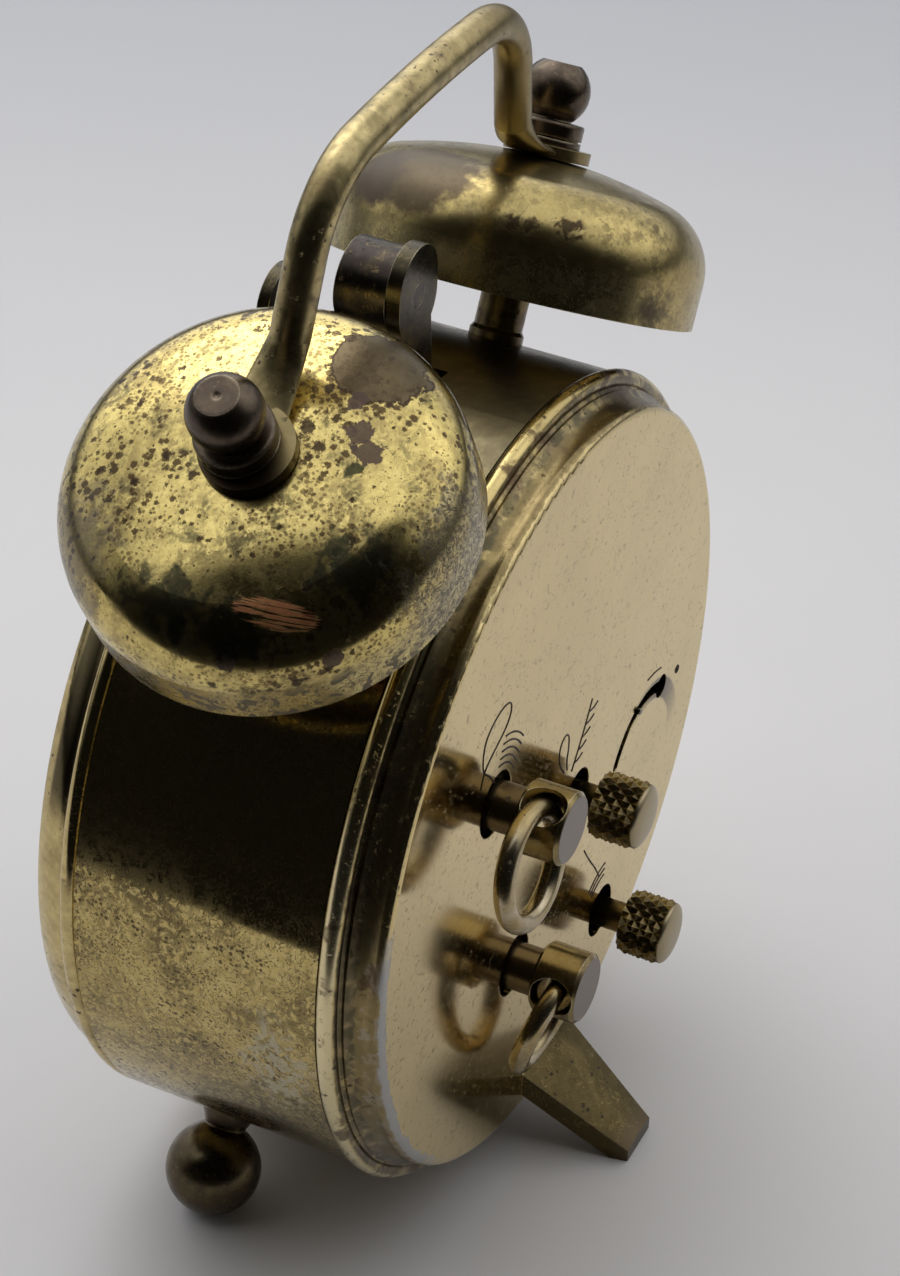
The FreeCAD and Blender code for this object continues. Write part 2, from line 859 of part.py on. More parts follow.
def key_ring(x, z, hole_turn, lift, twist):
    """A loose ring through a key's cross hole, lifted away from the back by an angle."""
    way = key_hole_way(hole_turn)
    down = V(way.z, 0, -way.x)
    hang = down * math.cos(math.radians(lift)) + V(0, math.sin(math.radians(lift)), 0)
    normal = FreeCAD.Rotation(hang, twist).multVec(way.cross(hang))
    centre = key_hole_centre(x, z) + hang * ring_hang
    return Part.makeTorus(ring_r, ring_wire_r, centre, normal)


def time_key_ring():
    """The ring of the key that winds the going spring."""
    return key_ring(time_key_x, time_key_z, time_hole_turn, time_ring_lift, time_ring_twist)


def alarm_key_ring():
    """The ring of the key that winds the alarm spring."""
    return key_ring(alarm_key_x, alarm_key_z, alarm_hole_turn, alarm_ring_lift, alarm_ring_twist)


def knurled_knob(x, z, knob_y, arbor_end):
    """A setting knob with a straight knurl and a domed end, on its arbor."""
    knurl_end = knob_y + knurl_l
    r = knob_r - knurl_depth
    grip = toothed(
        knurl_count,
        r,
        knob_r,
        knurl_root_share,
        knurl_tip_share,
        0,
        knob_y,
        knurl_end,
        x,
        z,
    )
    cap = lathe(
        (0, arbor_end),
        [
            (knob_stem_r, arbor_end),
            (knob_stem_r, knob_y),
            (r, knob_y),
            (r, knurl_end),
            ((r * knob_dome_mid, knurl_end + knob_dome * knob_dome_share), (0, knurl_end + knob_dome)),
        ],
    )
    cap.translate(V(x, 0, z))
    return grip.fuse(cap)


def time_module():
    """Tooth size of the wheels between the time setting arbor and the centre."""
    reach = math.hypot(time_set_x, time_set_z)
    return 2 * reach / (cannon_teeth + minute_wheel_teeth)


def alarm_module():
    """Tooth size of the wheels between the alarm setting arbor and the centre."""
    reach = math.hypot(alarm_set_x, alarm_set_z)
    return 2 * reach / (alarm_pinion_teeth + 2 * idler_teeth + alarm_wheel_teeth)


def idler_place():
    """The idler lies on the line from the alarm setting arbor to the centre."""
    reach = math.hypot(alarm_set_x, alarm_set_z)
    share = alarm_module() * (idler_teeth + alarm_wheel_teeth) / 2 / reach
    return (alarm_set_x * share, alarm_set_z * share)


def layer(number):
    """Front and back of one layer of wheels in front of the front plate."""
    back = first_layer - number * layer_step
    return (back - wheel_sheet, back)


def time_setting():
    """The time setting arbor's wheel and pinion, as one piece on the arbor."""
    turn = heading(time_set_x, time_set_z, 0, 0)
    first = layer(0)
    second = layer(1)
    wheel = gear(minute_wheel_teeth, time_module(), turn, first[0], first[1], time_set_x, time_set_z)
    pinion = gear(minute_pinion_teeth, time_module(), turn, second[0], first[0], time_set_x, time_set_z)
    bore = cylinder(bore_of_setting(), second[0], first[1], time_set_x, time_set_z)
    return wheel.fuse(pinion).cut(bore)


def bore_of_setting():
    """Radius of the thin end of the time setting arbor."""
    return time_module() * minute_pinion_teeth / 2 - 2.2 * time_module()


def time_set_knob():
    """The time setting knob with the arbor that carries the minute wheel."""
    thick_end = first_layer + arbor_step
    knob = knurled_knob(time_set_x, time_set_z, time_knob_y, thick_end)
    tip = layer(1)[0]
    return knob.fuse(cylinder(bore_of_setting(), tip, thick_end, time_set_x, time_set_z))


def alarm_set_knob():
    """The alarm setting knob with its arbor and pinion."""
    third = layer(2)
    turn = heading(alarm_set_x, alarm_set_z, *idler_place())
    knob = knurled_knob(alarm_set_x, alarm_set_z, alarm_knob_y, third[1])
    pinion_turn = turn + 180.0 / alarm_pinion_teeth
    pinion = gear(
        alarm_pinion_teeth,
        alarm_module(),
        pinion_turn,
        third[0],
        third[1],
        alarm_set_x,
        alarm_set_z,
    )
    return knob.fuse(pinion)


def cannon_pinion():
    """The pinion and pipe that carry the minute hand."""
    first = layer(0)
    turn = heading(0, 0, time_set_x, time_set_z) + 180.0 / cannon_teeth
    end = hand_base - 3 * hand_step
    pipe = cylinder(cannon_pipe_r(), end, first[0])
    pinion = gear(cannon_teeth, time_module(), turn, first[0], first[1])
    return pinion.fuse(pipe).cut(cylinder(centre_r + run_gap, end, first[1]))


def hour_wheel():
    """The wheel and pipe that carry the hour hand."""
    second = layer(1)
    turn = heading(0, 0, time_set_x, time_set_z) + 180.0 / hour_wheel_teeth
    end = hand_base - 2 * hand_step + hand_sheet / 2
    pipe = cylinder(hour_pipe_r(), end, second[0])
    wheel = gear(hour_wheel_teeth, time_module(), turn, second[0], second[1])
    return wheel.fuse(pipe).cut(cylinder(cannon_pipe_r() + run_gap, end, second[1]))


def alarm_wheel():
    """The wheel and pipe that carry the alarm hand."""
    third = layer(2)
    turn = heading(0, 0, *idler_place()) + 180.0 / alarm_wheel_teeth
    end = hand_base - hand_step + hand_sheet / 2
    pipe = cylinder(alarm_pipe_r(), end, third[0])
    wheel = gear(alarm_wheel_teeth, alarm_module(), turn, third[0], third[1])
    return wheel.fuse(pipe).cut(cylinder(hour_pipe_r() + run_gap, end, third[1]))


def alarm_idler():
    """The idler that turns the alarm wheel, with its hub on a stud of the front plate."""
    third = layer(2)
    x, z = idler_place()
    turn = heading(x, z, 0, 0)
    wheel = gear(idler_teeth, alarm_module(), turn, third[0], third[1], x, z)
    hub = cylinder(rivet_r * 2, third[1], front_plate_y - run_gap, x, z)
    return wheel.fuse(hub).cut(cylinder(rivet_r + run_gap, third[0], front_plate_y, x, z))


def hand(turn, reach, tail, width, pipe_r, y0):
    """A tapered hand with a round boss, pointing at a dial angle clockwise from the top."""
    y1 = y0 + hand_sheet
    shoulder = reach * hand_taper_at
    half = width / 2
    points = [(-half, -tail), (half, -tail), (half, shoulder), (0, reach), (-half, shoulder)]
    blade = flat(points, y0, y1)
    blade.rotate(V(0, 0, 0), V(0, 1, 0), turn)
    boss = cylinder(pipe_r + hand_boss, y0, y1)
    return blade.fuse(boss).cut(cylinder(pipe_r, y0, y1))


def minute_hand():
    """The long hand, on the cannon pinion's pipe."""
    y0 = hand_base - 3 * hand_step
    return hand(minute_at, minute_reach, minute_tail, minute_w, cannon_pipe_r(), y0)


def hour_hand():
    """The short hand, on the hour wheel's pipe."""
    y0 = hand_base - 2 * hand_step + hand_sheet / 2
    return hand(hour_at, hour_reach, hour_tail, hour_w, hour_pipe_r(), y0)


def alarm_hand():
    """The small hand that shows the alarm time, on the alarm wheel's pipe."""
    y0 = hand_base - hand_step + hand_sheet / 2
    return hand(alarm_at, alarm_reach, alarm_tail, alarm_w, alarm_pipe_r(), y0)


def front_plate():
    """The front plate of the movement, with studs for the idler and the alarm stop."""
    y1 = front_plate_y + plate_sheet
    plate = cylinder(front_plate_r, front_plate_y, y1)
    holes = [cylinder(centre_r + run_gap, front_plate_y, y1)]
    holes.append(cylinder(pivot_r + run_gap, front_plate_y, y1, hammer_x, hammer_z))
    for x, z in ((time_key_x, time_key_z), (alarm_key_x, alarm_key_z)):
        holes.append(cylinder(stud_r + run_gap, front_plate_y, y1, x, z))
    for x, z in ((time_set_x, time_set_z), (alarm_set_x, alarm_set_z)):
        holes.append(cylinder(knob_stem_r + run_gap, front_plate_y, y1, x, z))
    for x, z in pillar_places():
        holes.append(cylinder(pillar_end_r, front_plate_y, y1, x, z))
    for side in (-1, 1):
        holes.append(cylinder(dial_foot_r, front_plate_y, y1, side * dial_foot_x, side * dial_foot_z))
    for hole in holes:
        plate = plate.cut(hole)
    x, z = idler_place()
    studs = [cylinder(rivet_r, layer(2)[0], y1, x, z)]
    studs.append(cylinder(rivet_r, tab_y, y1, tab_x, tab_pivot_z))
    studs.append(cylinder(rivet_r * 2, tab_y + tab_sheet + run_gap, y1, tab_x, tab_pivot_z))
    return plate.fuse(studs).removeSplitter()


def rear_plate():
    """The rear plate of the movement, with the stud that the regulator turns on."""
    y1 = rear_plate_y + plate_sheet
    plate = cylinder(rear_plate_r, rear_plate_y, y1)
    holes = [cylinder(centre_r + run_gap, rear_plate_y, y1)]
    holes.append(cylinder(pivot_r + run_gap, rear_plate_y, y1, hammer_x, hammer_z))
    for x, z in ((time_key_x, time_key_z), (alarm_key_x, alarm_key_z)):
        holes.append(cylinder(winding_arbor_r + run_gap, rear_plate_y, y1, x, z))
    for x, z in ((time_set_x, time_set_z), (alarm_set_x, alarm_set_z)):
        holes.append(cylinder(knob_stem_r + run_gap, rear_plate_y, y1, x, z))
    for x, z in pillar_places():
        holes.append(cylinder(pillar_end_r, rear_plate_y, y1, x, z))
    for hole in holes:
        plate = plate.cut(hole)
    stud = cylinder(rivet_r, y1, index_y + index_sheet, balance_x, balance_z)
    shoulder = cylinder(rivet_r * 1.6, y1, index_y - run_gap, balance_x, balance_z)
    return plate.fuse([stud, shoulder]).removeSplitter()


def pillar_places():
    """Where the pillars stand between the plates."""
    return [circle_point(0, 0, pillar_circle_r, turn) for turn in pillar_turns]


def plate_pillars():
    """The pillars that hold the plates apart and reach the back cover."""
    pillars = []
    for x, z in pillar_places():
        body = cylinder(pillar_r, front_plate_y + plate_sheet, rear_plate_y, x, z)
        ends = cylinder(pillar_end_r, front_plate_y, cover_inside, x, z)
        foot_end = cylinder(pillar_r, rear_plate_y + plate_sheet, cover_inside, x, z)
        pillars.append(body.fuse([ends, foot_end]).removeSplitter().Solids[0])
    return Part.makeCompound(pillars)


def regulator():
    """The regulator index: a lever about the balance with a pin in the curved slot."""
    turn = (slot_low + slot_high) / 2
    tip_x, tip_z = circle_point(balance_x, balance_z, slot_r, turn)
    y1 = index_y + index_sheet
    lever = bar(balance_x, balance_z, tip_x, tip_z, index_w, index_y, y1)
    boss = cylinder(index_w, index_y, y1, balance_x, balance_z)
    pin = cylinder(pin_r, y1, cover_face + pin_out, tip_x, tip_z)
    bore = cylinder(rivet_r + run_gap, index_y, y1, balance_x, balance_z)
    return lever.fuse([boss, pin]).cut(bore)


def hammer_arm():
    """The cranked hammer arm, wide and rounded at its top."""
    y1 = arm_y + arm_sheet
    wide_z = arm_top_z - arm_top_w / 2
    low = bar(hammer_x, hammer_z, knee_x, knee_z, arm_w, arm_y, y1)
    high = bar(knee_x, knee_z, arm_top_x, wide_z, arm_w, arm_y, y1)
    top = bar(arm_top_x, drum_r + arm_wide_up, arm_top_x, wide_z, arm_top_w, arm_y, y1)
    hub = cylinder(arm_w * 0.75, arm_y, y1, hammer_x, hammer_z)
    arm = low.fuse([high, top, hub]).removeSplitter()
    arm = arm.cut(cylinder(pivot_r * 1.5, arm_y, y1, hammer_x, hammer_z))
    return arm.cut(cylinder(rivet_r, arm_y, y1, arm_top_x, head_z))


def hammer_arbor():
    """The arbor that the hammer arm is fixed on, between the plates."""
    inner = front_plate_y + plate_sheet + run_gap
    outer = rear_plate_y - run_gap
    ends = cylinder(pivot_r, front_plate_y, rear_plate_y + plate_sheet, hammer_x, hammer_z)
    return ends.fuse(cylinder(pivot_r * 1.5, inner, outer, hammer_x, hammer_z)).removeSplitter()


def hammer_head():
    """The round hammer head with the flush rivet that holds it on the arm."""
    head = cylinder(head_r, arm_y - head_l, arm_y, arm_top_x, head_z)
    rivet = cylinder(rivet_r, arm_y, arm_y + arm_sheet, arm_top_x, head_z)
    return head.fuse(rivet).removeSplitter()


def alarm_stop():
    """The alarm stop: a thin lever with a rounded tab that stands out of the drum."""
    y1 = tab_y + tab_sheet
    wide_z = tab_top_z - tab_w / 2
    stem = bar(tab_x, tab_pivot_z, tab_x, wide_z, tab_stem_w, tab_y, y1)
    top = bar(tab_x, drum_bore_r - tab_shoulder_in, tab_x, wide_z, tab_w, tab_y, y1)
    bore = cylinder(rivet_r + run_gap, tab_y, y1, tab_x, tab_pivot_z)
    return stem.fuse(top).cut(bore).removeSplitter()


def centre_arbor():
    """The centre arbor that the pipes of the hands turn on."""
    end = hand_base - 3 * hand_step - centre_end_in
    thin = cylinder(centre_r, end, rear_plate_y + plate_sheet)
    shoulder_front = front_plate_y + plate_sheet + run_gap
    return thin.fuse(cylinder(centre_r * 2, shoulder_front, rear_plate_y - run_gap)).removeSplitter()


def put(name, shape):
    """Move a piece to the frame of the whole clock and write it."""
    moved = shape.copy()
    middle = (leg_tip_y + min(bezel_front, bell_y - bell_r)) / 2
    moved.translate(V(0, -middle, -floor_z))
    moved.exportStep("parts/" + name + ".step")


def main():
    os.makedirs("parts", exist_ok=True)
    put("drum", drum())
    put("back_cover", back_cover())
    put("front_bezel", front_bezel())
    put("crystal", crystal())
    put("dial_ring", dial_ring())
    put("dial", dial())
    for name, side in (("right", 1), ("left", -1)):
        put("bell_" + name, bell(side))
        put("bell_post_" + name, bell_post(side))
        put("finial_" + name, finial(side))
        put("foot_" + name, foot(side))
    put("stud_nuts", stud_nuts())
    put("carry_handle", carry_handle())
    put("rear_leg", rear_leg())
    put("front_plate", front_plate())
    put("rear_plate", rear_plate())
    put("plate_pillars", plate_pillars())
    put("time_key", winding_key(time_key_x, time_key_z, time_hole_turn))
    put("time_key_ring", time_key_ring())
    put("alarm_key", winding_key(alarm_key_x, alarm_key_z, alarm_hole_turn))
    put("alarm_key_ring", alarm_key_ring())
    put("time_set_knob", time_set_knob())
    put("minute_wheel", time_setting())
    put("alarm_set_knob", alarm_set_knob())
    put("cannon_pinion", cannon_pinion())
    put("hour_wheel", hour_wheel())
    put("alarm_idler", alarm_idler())
    put("alarm_wheel", alarm_wheel())
    put("minute_hand", minute_hand())
    put("hour_hand", hour_hand())
    put("alarm_hand", alarm_hand())
    put("hammer_arm", hammer_arm())
    put("hammer_arbor", hammer_arbor())
    put("hammer_head", hammer_head())
    put("alarm_stop", alarm_stop())
    put("regulator", regulator())
    put("centre_arbor", centre_arbor())


main()
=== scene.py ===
# Looks of a wind-up twin-bell alarm clock in aged brass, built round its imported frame.
# Lengths in settings and finishes are millimetres, and the pieces are made in metres.
# The origin is on the ground under the middle of the clock, with the dial towards -Y.
import json
import math

import bmesh
import bpy
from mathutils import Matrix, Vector

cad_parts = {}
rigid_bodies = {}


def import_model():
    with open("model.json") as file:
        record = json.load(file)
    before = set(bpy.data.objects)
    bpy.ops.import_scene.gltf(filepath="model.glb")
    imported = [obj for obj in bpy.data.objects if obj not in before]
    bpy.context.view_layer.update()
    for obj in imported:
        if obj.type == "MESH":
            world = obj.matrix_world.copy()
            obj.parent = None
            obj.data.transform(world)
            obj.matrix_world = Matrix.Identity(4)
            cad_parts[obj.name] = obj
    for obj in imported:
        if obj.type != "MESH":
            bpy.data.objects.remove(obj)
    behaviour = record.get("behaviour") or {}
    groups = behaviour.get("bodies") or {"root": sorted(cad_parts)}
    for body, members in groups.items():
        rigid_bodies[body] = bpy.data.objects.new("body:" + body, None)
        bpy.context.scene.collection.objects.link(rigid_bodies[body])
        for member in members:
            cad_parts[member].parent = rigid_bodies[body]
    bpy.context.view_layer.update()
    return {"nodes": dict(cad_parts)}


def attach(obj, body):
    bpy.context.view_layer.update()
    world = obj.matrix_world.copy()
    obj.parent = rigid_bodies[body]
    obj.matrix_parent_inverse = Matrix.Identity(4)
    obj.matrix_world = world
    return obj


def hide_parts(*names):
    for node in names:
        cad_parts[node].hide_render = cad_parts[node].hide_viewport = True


bl_info = {
    "name": "Twin-bell alarm clock",
    "version": (1, 0, 0),
    "blender": (4, 5, 0),
    "location": "3D View > Sidebar > Clock",
    "description": "Aged brass, engraved back, knurled knobs and dial for the packed clock",
    "category": "Object",
}

MM = 0.001
TO_MM = 1000.0
FULL = 2 * math.pi
EVEN = (1.0, 1.0, 1.0)

# Y of the middle of the back cover's bead, and height of the drum's axis over the ground.
AXIS_Y = 5.525
AXIS_Z = 29.5

# Places on the back, as X and Z from the drum's axis.
TIME_KEY = (10.5, 6.4)
TIME_KNOB = (-3.1, -2.7)
ALARM_KNOB = (-9.0, -17.6)
BALANCE = (-14.8, -8.15)

for leftover in list(bpy.data.objects):
    bpy.data.objects.remove(leftover)
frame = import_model()


def number(label, text, value):
    """A plain number in a settings group."""
    return bpy.props.FloatProperty(name=label, description=text, default=value, precision=4)


def count(label, text, value):
    """A whole number in a settings group."""
    return bpy.props.IntProperty(name=label, description=text, default=value)


def angle(label, text, degrees):
    """An angle in a settings group."""
    kind = {"default": math.radians(degrees), "subtype": "ANGLE", "unit": "ROTATION"}
    return bpy.props.FloatProperty(name=label, description=text, **kind)


def colour(label, text, value):
    """A linear colour in a settings group."""
    kind = {"default": value, "size": 3, "subtype": "COLOR"}
    return bpy.props.FloatVectorProperty(name=label, description=text, **kind)


class ClockView(bpy.types.PropertyGroup):
    """Where the camera stands."""

    azimuth: angle("Azimuth", "Turn of the camera about the clock", 114.8)
    elevation: angle("Elevation", "Height of the camera above the horizon", 36.5)
    roll: angle("Roll", "Turn of the camera about its own axis", 2.0)
    distance: number("Distance", "From the drum's axis to the camera, mm", 218.22)
    across: number("Across", "Shift of the camera to its right, mm", -4.48)
    up: number("Up", "Shift of the camera upwards, mm", 9.21)
    lens: number("Lens", "Focal length on a frame 36 mm high", 92.23)


class ClockRoom(bpy.types.PropertyGroup):
    """Floor and light."""

    floor_near: number("Near edge", "Reach of the floor towards the camera, mm", 86.0)
    floor_far: number("Far edge", "Reach of the floor the other ways, mm", 420.0)
    floor_colour: colour("Floor", "Colour of the floor", (0.72, 0.70, 0.695))
    # The far floor colour is painted shade where less light reaches; it also mottles the paper faintly.
    floor_back: colour("Far floor", "Colour of the floor far behind the clock", (0.47, 0.475, 0.50))
    dark: number("Dark side", "Light from the camera's side", 0.008)
    wall: number("Far wall", "Light from behind the clock", 0.85)
    window: number("Window", "Brightest patch behind the clock", 1.1)
    ceiling: number("Ceiling", "Light from above", 1.08)
    key: number("Key light", "Power of the soft lamp, W", 0.32)


class ClockBrass(bpy.types.PropertyGroup):
    """Colours shared by the brass pieces."""

    bright: colour("Bright", "Polished brass", (0.76, 0.61, 0.225))
    golden: colour("Golden", "Middle tone of aged brass", (0.50, 0.375, 0.125))
    satin: colour("Satin", "Worn champagne brass of the back", (0.78, 0.62, 0.30))
    dull: colour("Dull", "Brass under a thin brown skin", (0.27, 0.20, 0.085))
    olive: colour("Olive", "Greenish tarnish", (0.095, 0.085, 0.045))
    brown: colour("Brown", "Purple-brown tarnish", (0.115, 0.082, 0.062))
    # Dark is also laid as painted shade by the regulator's slot and round the finials' feet on the
    # handle.
    dark: colour("Dark", "Nearly black tarnish and dirt", (0.040, 0.024, 0.015))
    bronze: colour("Bronze", "Dark skin of posts, leg end and key stems", (0.115, 0.085, 0.055))
    worn: colour("Worn", "Pale rubbed brass on edges", (0.66, 0.59, 0.40))
    silver: colour("Silver", "Bare pale metal of the nuts", (0.50, 0.49, 0.47))
    copper: colour("Copper", "Reddish metal in a fresh scratch", (0.52, 0.20, 0.085))


class ClockKnobs(bpy.types.PropertyGroup):
    """The two knurled setting knobs."""

    radius: number("Radius", "Outside of the knurl, mm", 2.4)
    depth: number("Knurl depth", "Height of the knurl's points, mm", 0.28)
    around: count("Points around", "Knurl points round the knob", 16)
    along: count("Points along", "Knurl points along the knob", 3)
    time_back: number("Time knob", "Y of the back of its knurl from the bead's middle, mm", 4.9)
    alarm_back: number("Alarm knob", "Y of the back of its knurl from the bead's middle, mm", 5.35)
    length: number("Length", "Length of the knurl, mm", 3.1)
    dome: number("Dome", "Rise of the domed end, mm", 0.5)
    stem: number("Stem", "Radius of the stem, mm", 1.1)


class ClockMarks(bpy.types.PropertyGroup):
    """The engraved lines on the back."""

    plate: number("Plate", "Y of the plate's face from the bead's middle, mm", 3.12)
    line: number("Line", "Half width of a line, mm", 0.085)
    sunk: number("Sunk", "How deep a line's middle lies in the plate, mm", 0.03)


class ClockDial(bpy.types.PropertyGroup):
    """What is printed on the dial."""

    face: number("Face", "Y of the dial's face from the bead's middle, mm", -17.7)
    lift: number("Print lift", "Thickness of the print, mm", 0.02)
    numeral_ring: number("Numeral ring", "Radius of the numerals' middles, mm", 17.2)
    numeral_height: number("Numeral height", "Size of the numerals, mm", 4.6)
    track: number("Minute track", "Radius of the minute track, mm", 22.2)
    track_width: number("Track width", "Length of a minute mark, mm", 1.1)
    hour_mark: number("Hour mark", "Width of the mark at an hour, mm", 0.45)
    minute_mark: number("Minute mark", "Width of the other marks, mm", 0.16)
    track_line: number("Track line", "Width of the rings beside the marks, mm", 0.12)


SETTINGS = (
    ("clock_view", ClockView),
    ("clock_room", ClockRoom),
    ("clock_brass", ClockBrass),
    ("clock_knobs", ClockKnobs),
    ("clock_marks", ClockMarks),
    ("clock_dial", ClockDial),
)


class Tree:
    """Adds nodes to one node tree and joins them."""

    def __init__(self, tree):
        self.tree = tree

    def feed(self, socket, value):
        """Join a socket to another one, or give it a constant."""
        if isinstance(value, bpy.types.NodeSocket):
            self.tree.links.new(value, socket)
        else:
            socket.default_value = value

    def node(self, kind, inputs=None, **settings):
        """A node with its settings and inputs."""
        made = self.tree.nodes.new(kind)
        for key, value in settings.items():
            setattr(made, key, value)
        for key, value in (inputs or {}).items():
            self.feed(made.inputs[key], value)
        return made

    def math(self, operation, *values):
        """A sum on single values."""
        inputs = dict(enumerate(values))
        return self.node("ShaderNodeMath", inputs, operation=operation).outputs[0]

    def vector(self, operation, *values, output="Vector"):
        """A sum on vectors."""
        inputs = dict(enumerate(values))
        return self.node("ShaderNodeVectorMath", inputs, operation=operation).outputs[output]

    def scaled(self, vector, size):
        """A vector times one number."""
        inputs = {"Vector": vector, "Scale": size}
        return self.node("ShaderNodeVectorMath", inputs, operation="SCALE").outputs["Vector"]

    def dot(self, first, second):
        """How far one vector reaches along another."""
        return self.vector("DOT_PRODUCT", first, second, output="Value")

    def length(self, vector):
        """The length of a vector."""
        return self.vector("LENGTH", vector, output="Value")

    def joined(self, **parts):
        """A vector from its parts."""
        return self.node("ShaderNodeCombineXYZ", parts).outputs[0]

    def parts(self, vector):
        """The three parts of a vector."""
        return self.node("ShaderNodeSeparateXYZ", {"Vector": vector}).outputs

    def noise(self, vector, scale, detail=2.0, roughness=0.5, distortion=0.0, output="Fac"):
        """Cloudy noise."""
        inputs = {"Vector": vector, "Scale": scale, "Detail": detail, "Roughness": roughness}
        inputs["Distortion"] = distortion
        return self.node("ShaderNodeTexNoise", inputs).outputs[output]

    def span(self, value, low, high, to_low=0.0, to_high=1.0):
        """A smooth step from one value to another."""
        inputs = {"Value": value, "From Min": low, "From Max": high, "To Min": to_low, "To Max": to_high}
        return self.node("ShaderNodeMapRange", inputs, interpolation_type="SMOOTHSTEP").outputs[0]

    def blend(self, factor, first, second):
        """One value or colour over another by a mask."""
        single = isinstance(first, (float, int)) or getattr(first, "type", "") == "VALUE"
        kind, below, above, result = ("FLOAT", 2, 3, 0) if single else ("RGBA", 6, 7, 2)
        made = self.node("ShaderNodeMix", data_type=kind)
        for place, value in ((0, factor), (below, first), (above, second)):
            self.feed(made.inputs[place], value)
        return made.outputs[result]

    def use(self, group, inputs, output="Mask"):
        """One of the shared groups, joined up."""
        made = self.node("ShaderNodeGroup", inputs, node_tree=bpy.data.node_groups[group])
        return made.outputs[output]


def shared_group(name, numbers, vectors=("Vector",), outputs=("Mask",)):
    """A new group with named inputs, as its tree, its inputs and its outputs."""
    group = bpy.data.node_groups.new(name, "ShaderNodeTree")
    for label in vectors:
        group.interface.new_socket(label, in_out="INPUT", socket_type="NodeSocketVector")
    for label, value in numbers.items():
        socket = group.interface.new_socket(label, in_out="INPUT", socket_type="NodeSocketFloat")
        socket.default_value = value
    for label in outputs:
        kind = "NodeSocketVector" if label == "Normal" else "NodeSocketFloat"
        group.interface.new_socket(label, in_out="OUTPUT", socket_type=kind)
    tree = Tree(group)
    entry = tree.node("NodeGroupInput")
    leave = tree.node("NodeGroupOutput")
    return tree, entry.outputs, leave.inputs


def moved_by_seed(tree, given, axes):
    """The place, moved along two axes by the seed, so that no two masks look alike."""
    offset = tree.joined(**{axis: given["Seed"] for axis in axes})
    return tree.vector("ADD", given["Vector"], offset)


def broken_line(tree, given, line, gaps, soft):
    """A thin line along the middle value of one noise, broken up by another."""
    away = tree.math("ABSOLUTE", tree.math("SUBTRACT", line, 0.5))
    thin = tree.span(away, given["Width"], 0.0)
    edge = tree.math("MULTIPLY_ADD", given["Amount"], -0.35, 0.70)
    gate = tree.span(gaps, edge, tree.math("ADD", edge, soft))
    return tree.math("MULTIPLY", thin, gate)


def group_patches():
    """Ragged patches of tarnish."""
    numbers = {"Scale": 0.2, "Amount": 0.4, "Soft": 0.04, "Seed": 0.0}
    tree, given, result = shared_group("Tarnish Patches", numbers)
    cloud = tree.noise(moved_by_seed(tree, given, "XY"), given["Scale"], 7.0, 0.62, 0.5)
    edge = tree.math("MULTIPLY_ADD", given["Amount"], -0.44, 0.72)
    low = tree.math("SUBTRACT", edge, given["Soft"])
    high = tree.math("ADD", edge, given["Soft"])
    tree.feed(result["Mask"], tree.span(cloud, low, high))


def group_specks():
    """Small ragged specks that gather in clusters, with few large ones where they are rare."""
    numbers = {"Scale": 1.6, "Size": 0.3, "Rare": 2.0, "Cluster": 0.5, "Seed": 0.0}
    tree, given, result = shared_group("Specks", numbers)
    place = moved_by_seed(tree, given, "YZ")
    wobble = tree.noise(place, tree.math("MULTIPLY", given["Scale"], 3.4), 5.0, 0.72, output="Color")
    sway = tree.math("DIVIDE", 0.95, given["Scale"])
    shaken = tree.vector("ADD", place, tree.scaled(wobble, sway))
    cells = tree.node("ShaderNodeTexVoronoi", {"Vector": shaken, "Scale": given["Scale"]}).outputs
    luck = tree.node("ShaderNodeSeparateColor", {"Color": cells["Color"]}).outputs[0]
    reach = tree.math("MULTIPLY", tree.math("POWER", luck, given["Rare"]), given["Size"])
    cloud = tree.noise(place, 0.16, 3.0, 0.6)
    gather = tree.span(cloud, tree.math("MULTIPLY_ADD", given["Cluster"], 0.30, 0.22), 0.62)
    reach = tree.math("MULTIPLY", reach, gather)
    near = tree.span(cells["Distance"], reach, tree.math("MULTIPLY", reach, 0.7))
    tree.feed(result["Mask"], tree.math("MULTIPLY", near, tree.span(reach, 0.02, 0.05)))


def group_scratches():
    """Fine straight scratches in three directions, broken into short lengths."""
    tree, given, result = shared_group("Fine Scratches", {"Scale": 1.0, "Width": 0.02, "Amount": 0.5})
    drawn_out = (0.09, 1.0, 1.0)
    total = None
    for turn, axis in ((0.4, (0.3, 1.0, 0.2)), (1.7, (0.1, 1.0, 0.4)), (2.6, (0.5, 0.8, -0.3))):
        inputs = {"Vector": given["Vector"], "Axis": axis, "Angle": turn}
        turned = tree.node("ShaderNodeVectorRotate", inputs).outputs[0]
        line = tree.noise(tree.vector("MULTIPLY", turned, drawn_out), given["Scale"], 3.0, 0.7)
        gaps = tree.noise(turned, tree.math("MULTIPLY", given["Scale"], 0.55), 2.0, 0.6)
        scratch = broken_line(tree, given, line, gaps, 0.06)
        total = scratch if total is None else tree.math("MAXIMUM", total, scratch)
    tree.feed(result["Mask"], total)


def group_curls():
    """Short curled dark marks, as corrosion leaves on lacquered brass."""
    numbers = {"Scale": 1.0, "Width": 0.012, "Amount": 0.5, "Seed": 0.0}
    tree, given, result = shared_group("Worm Marks", numbers)
    place = moved_by_seed(tree, given, "XZ")
    line = tree.noise(place, given["Scale"], 4.0, 0.62, 1.6)
    gaps = tree.noise(place, tree.math("MULTIPLY", given["Scale"], 1.3), 3.0, 0.65)
    tree.feed(result["Mask"], broken_line(tree, given, line, gaps, 0.05))


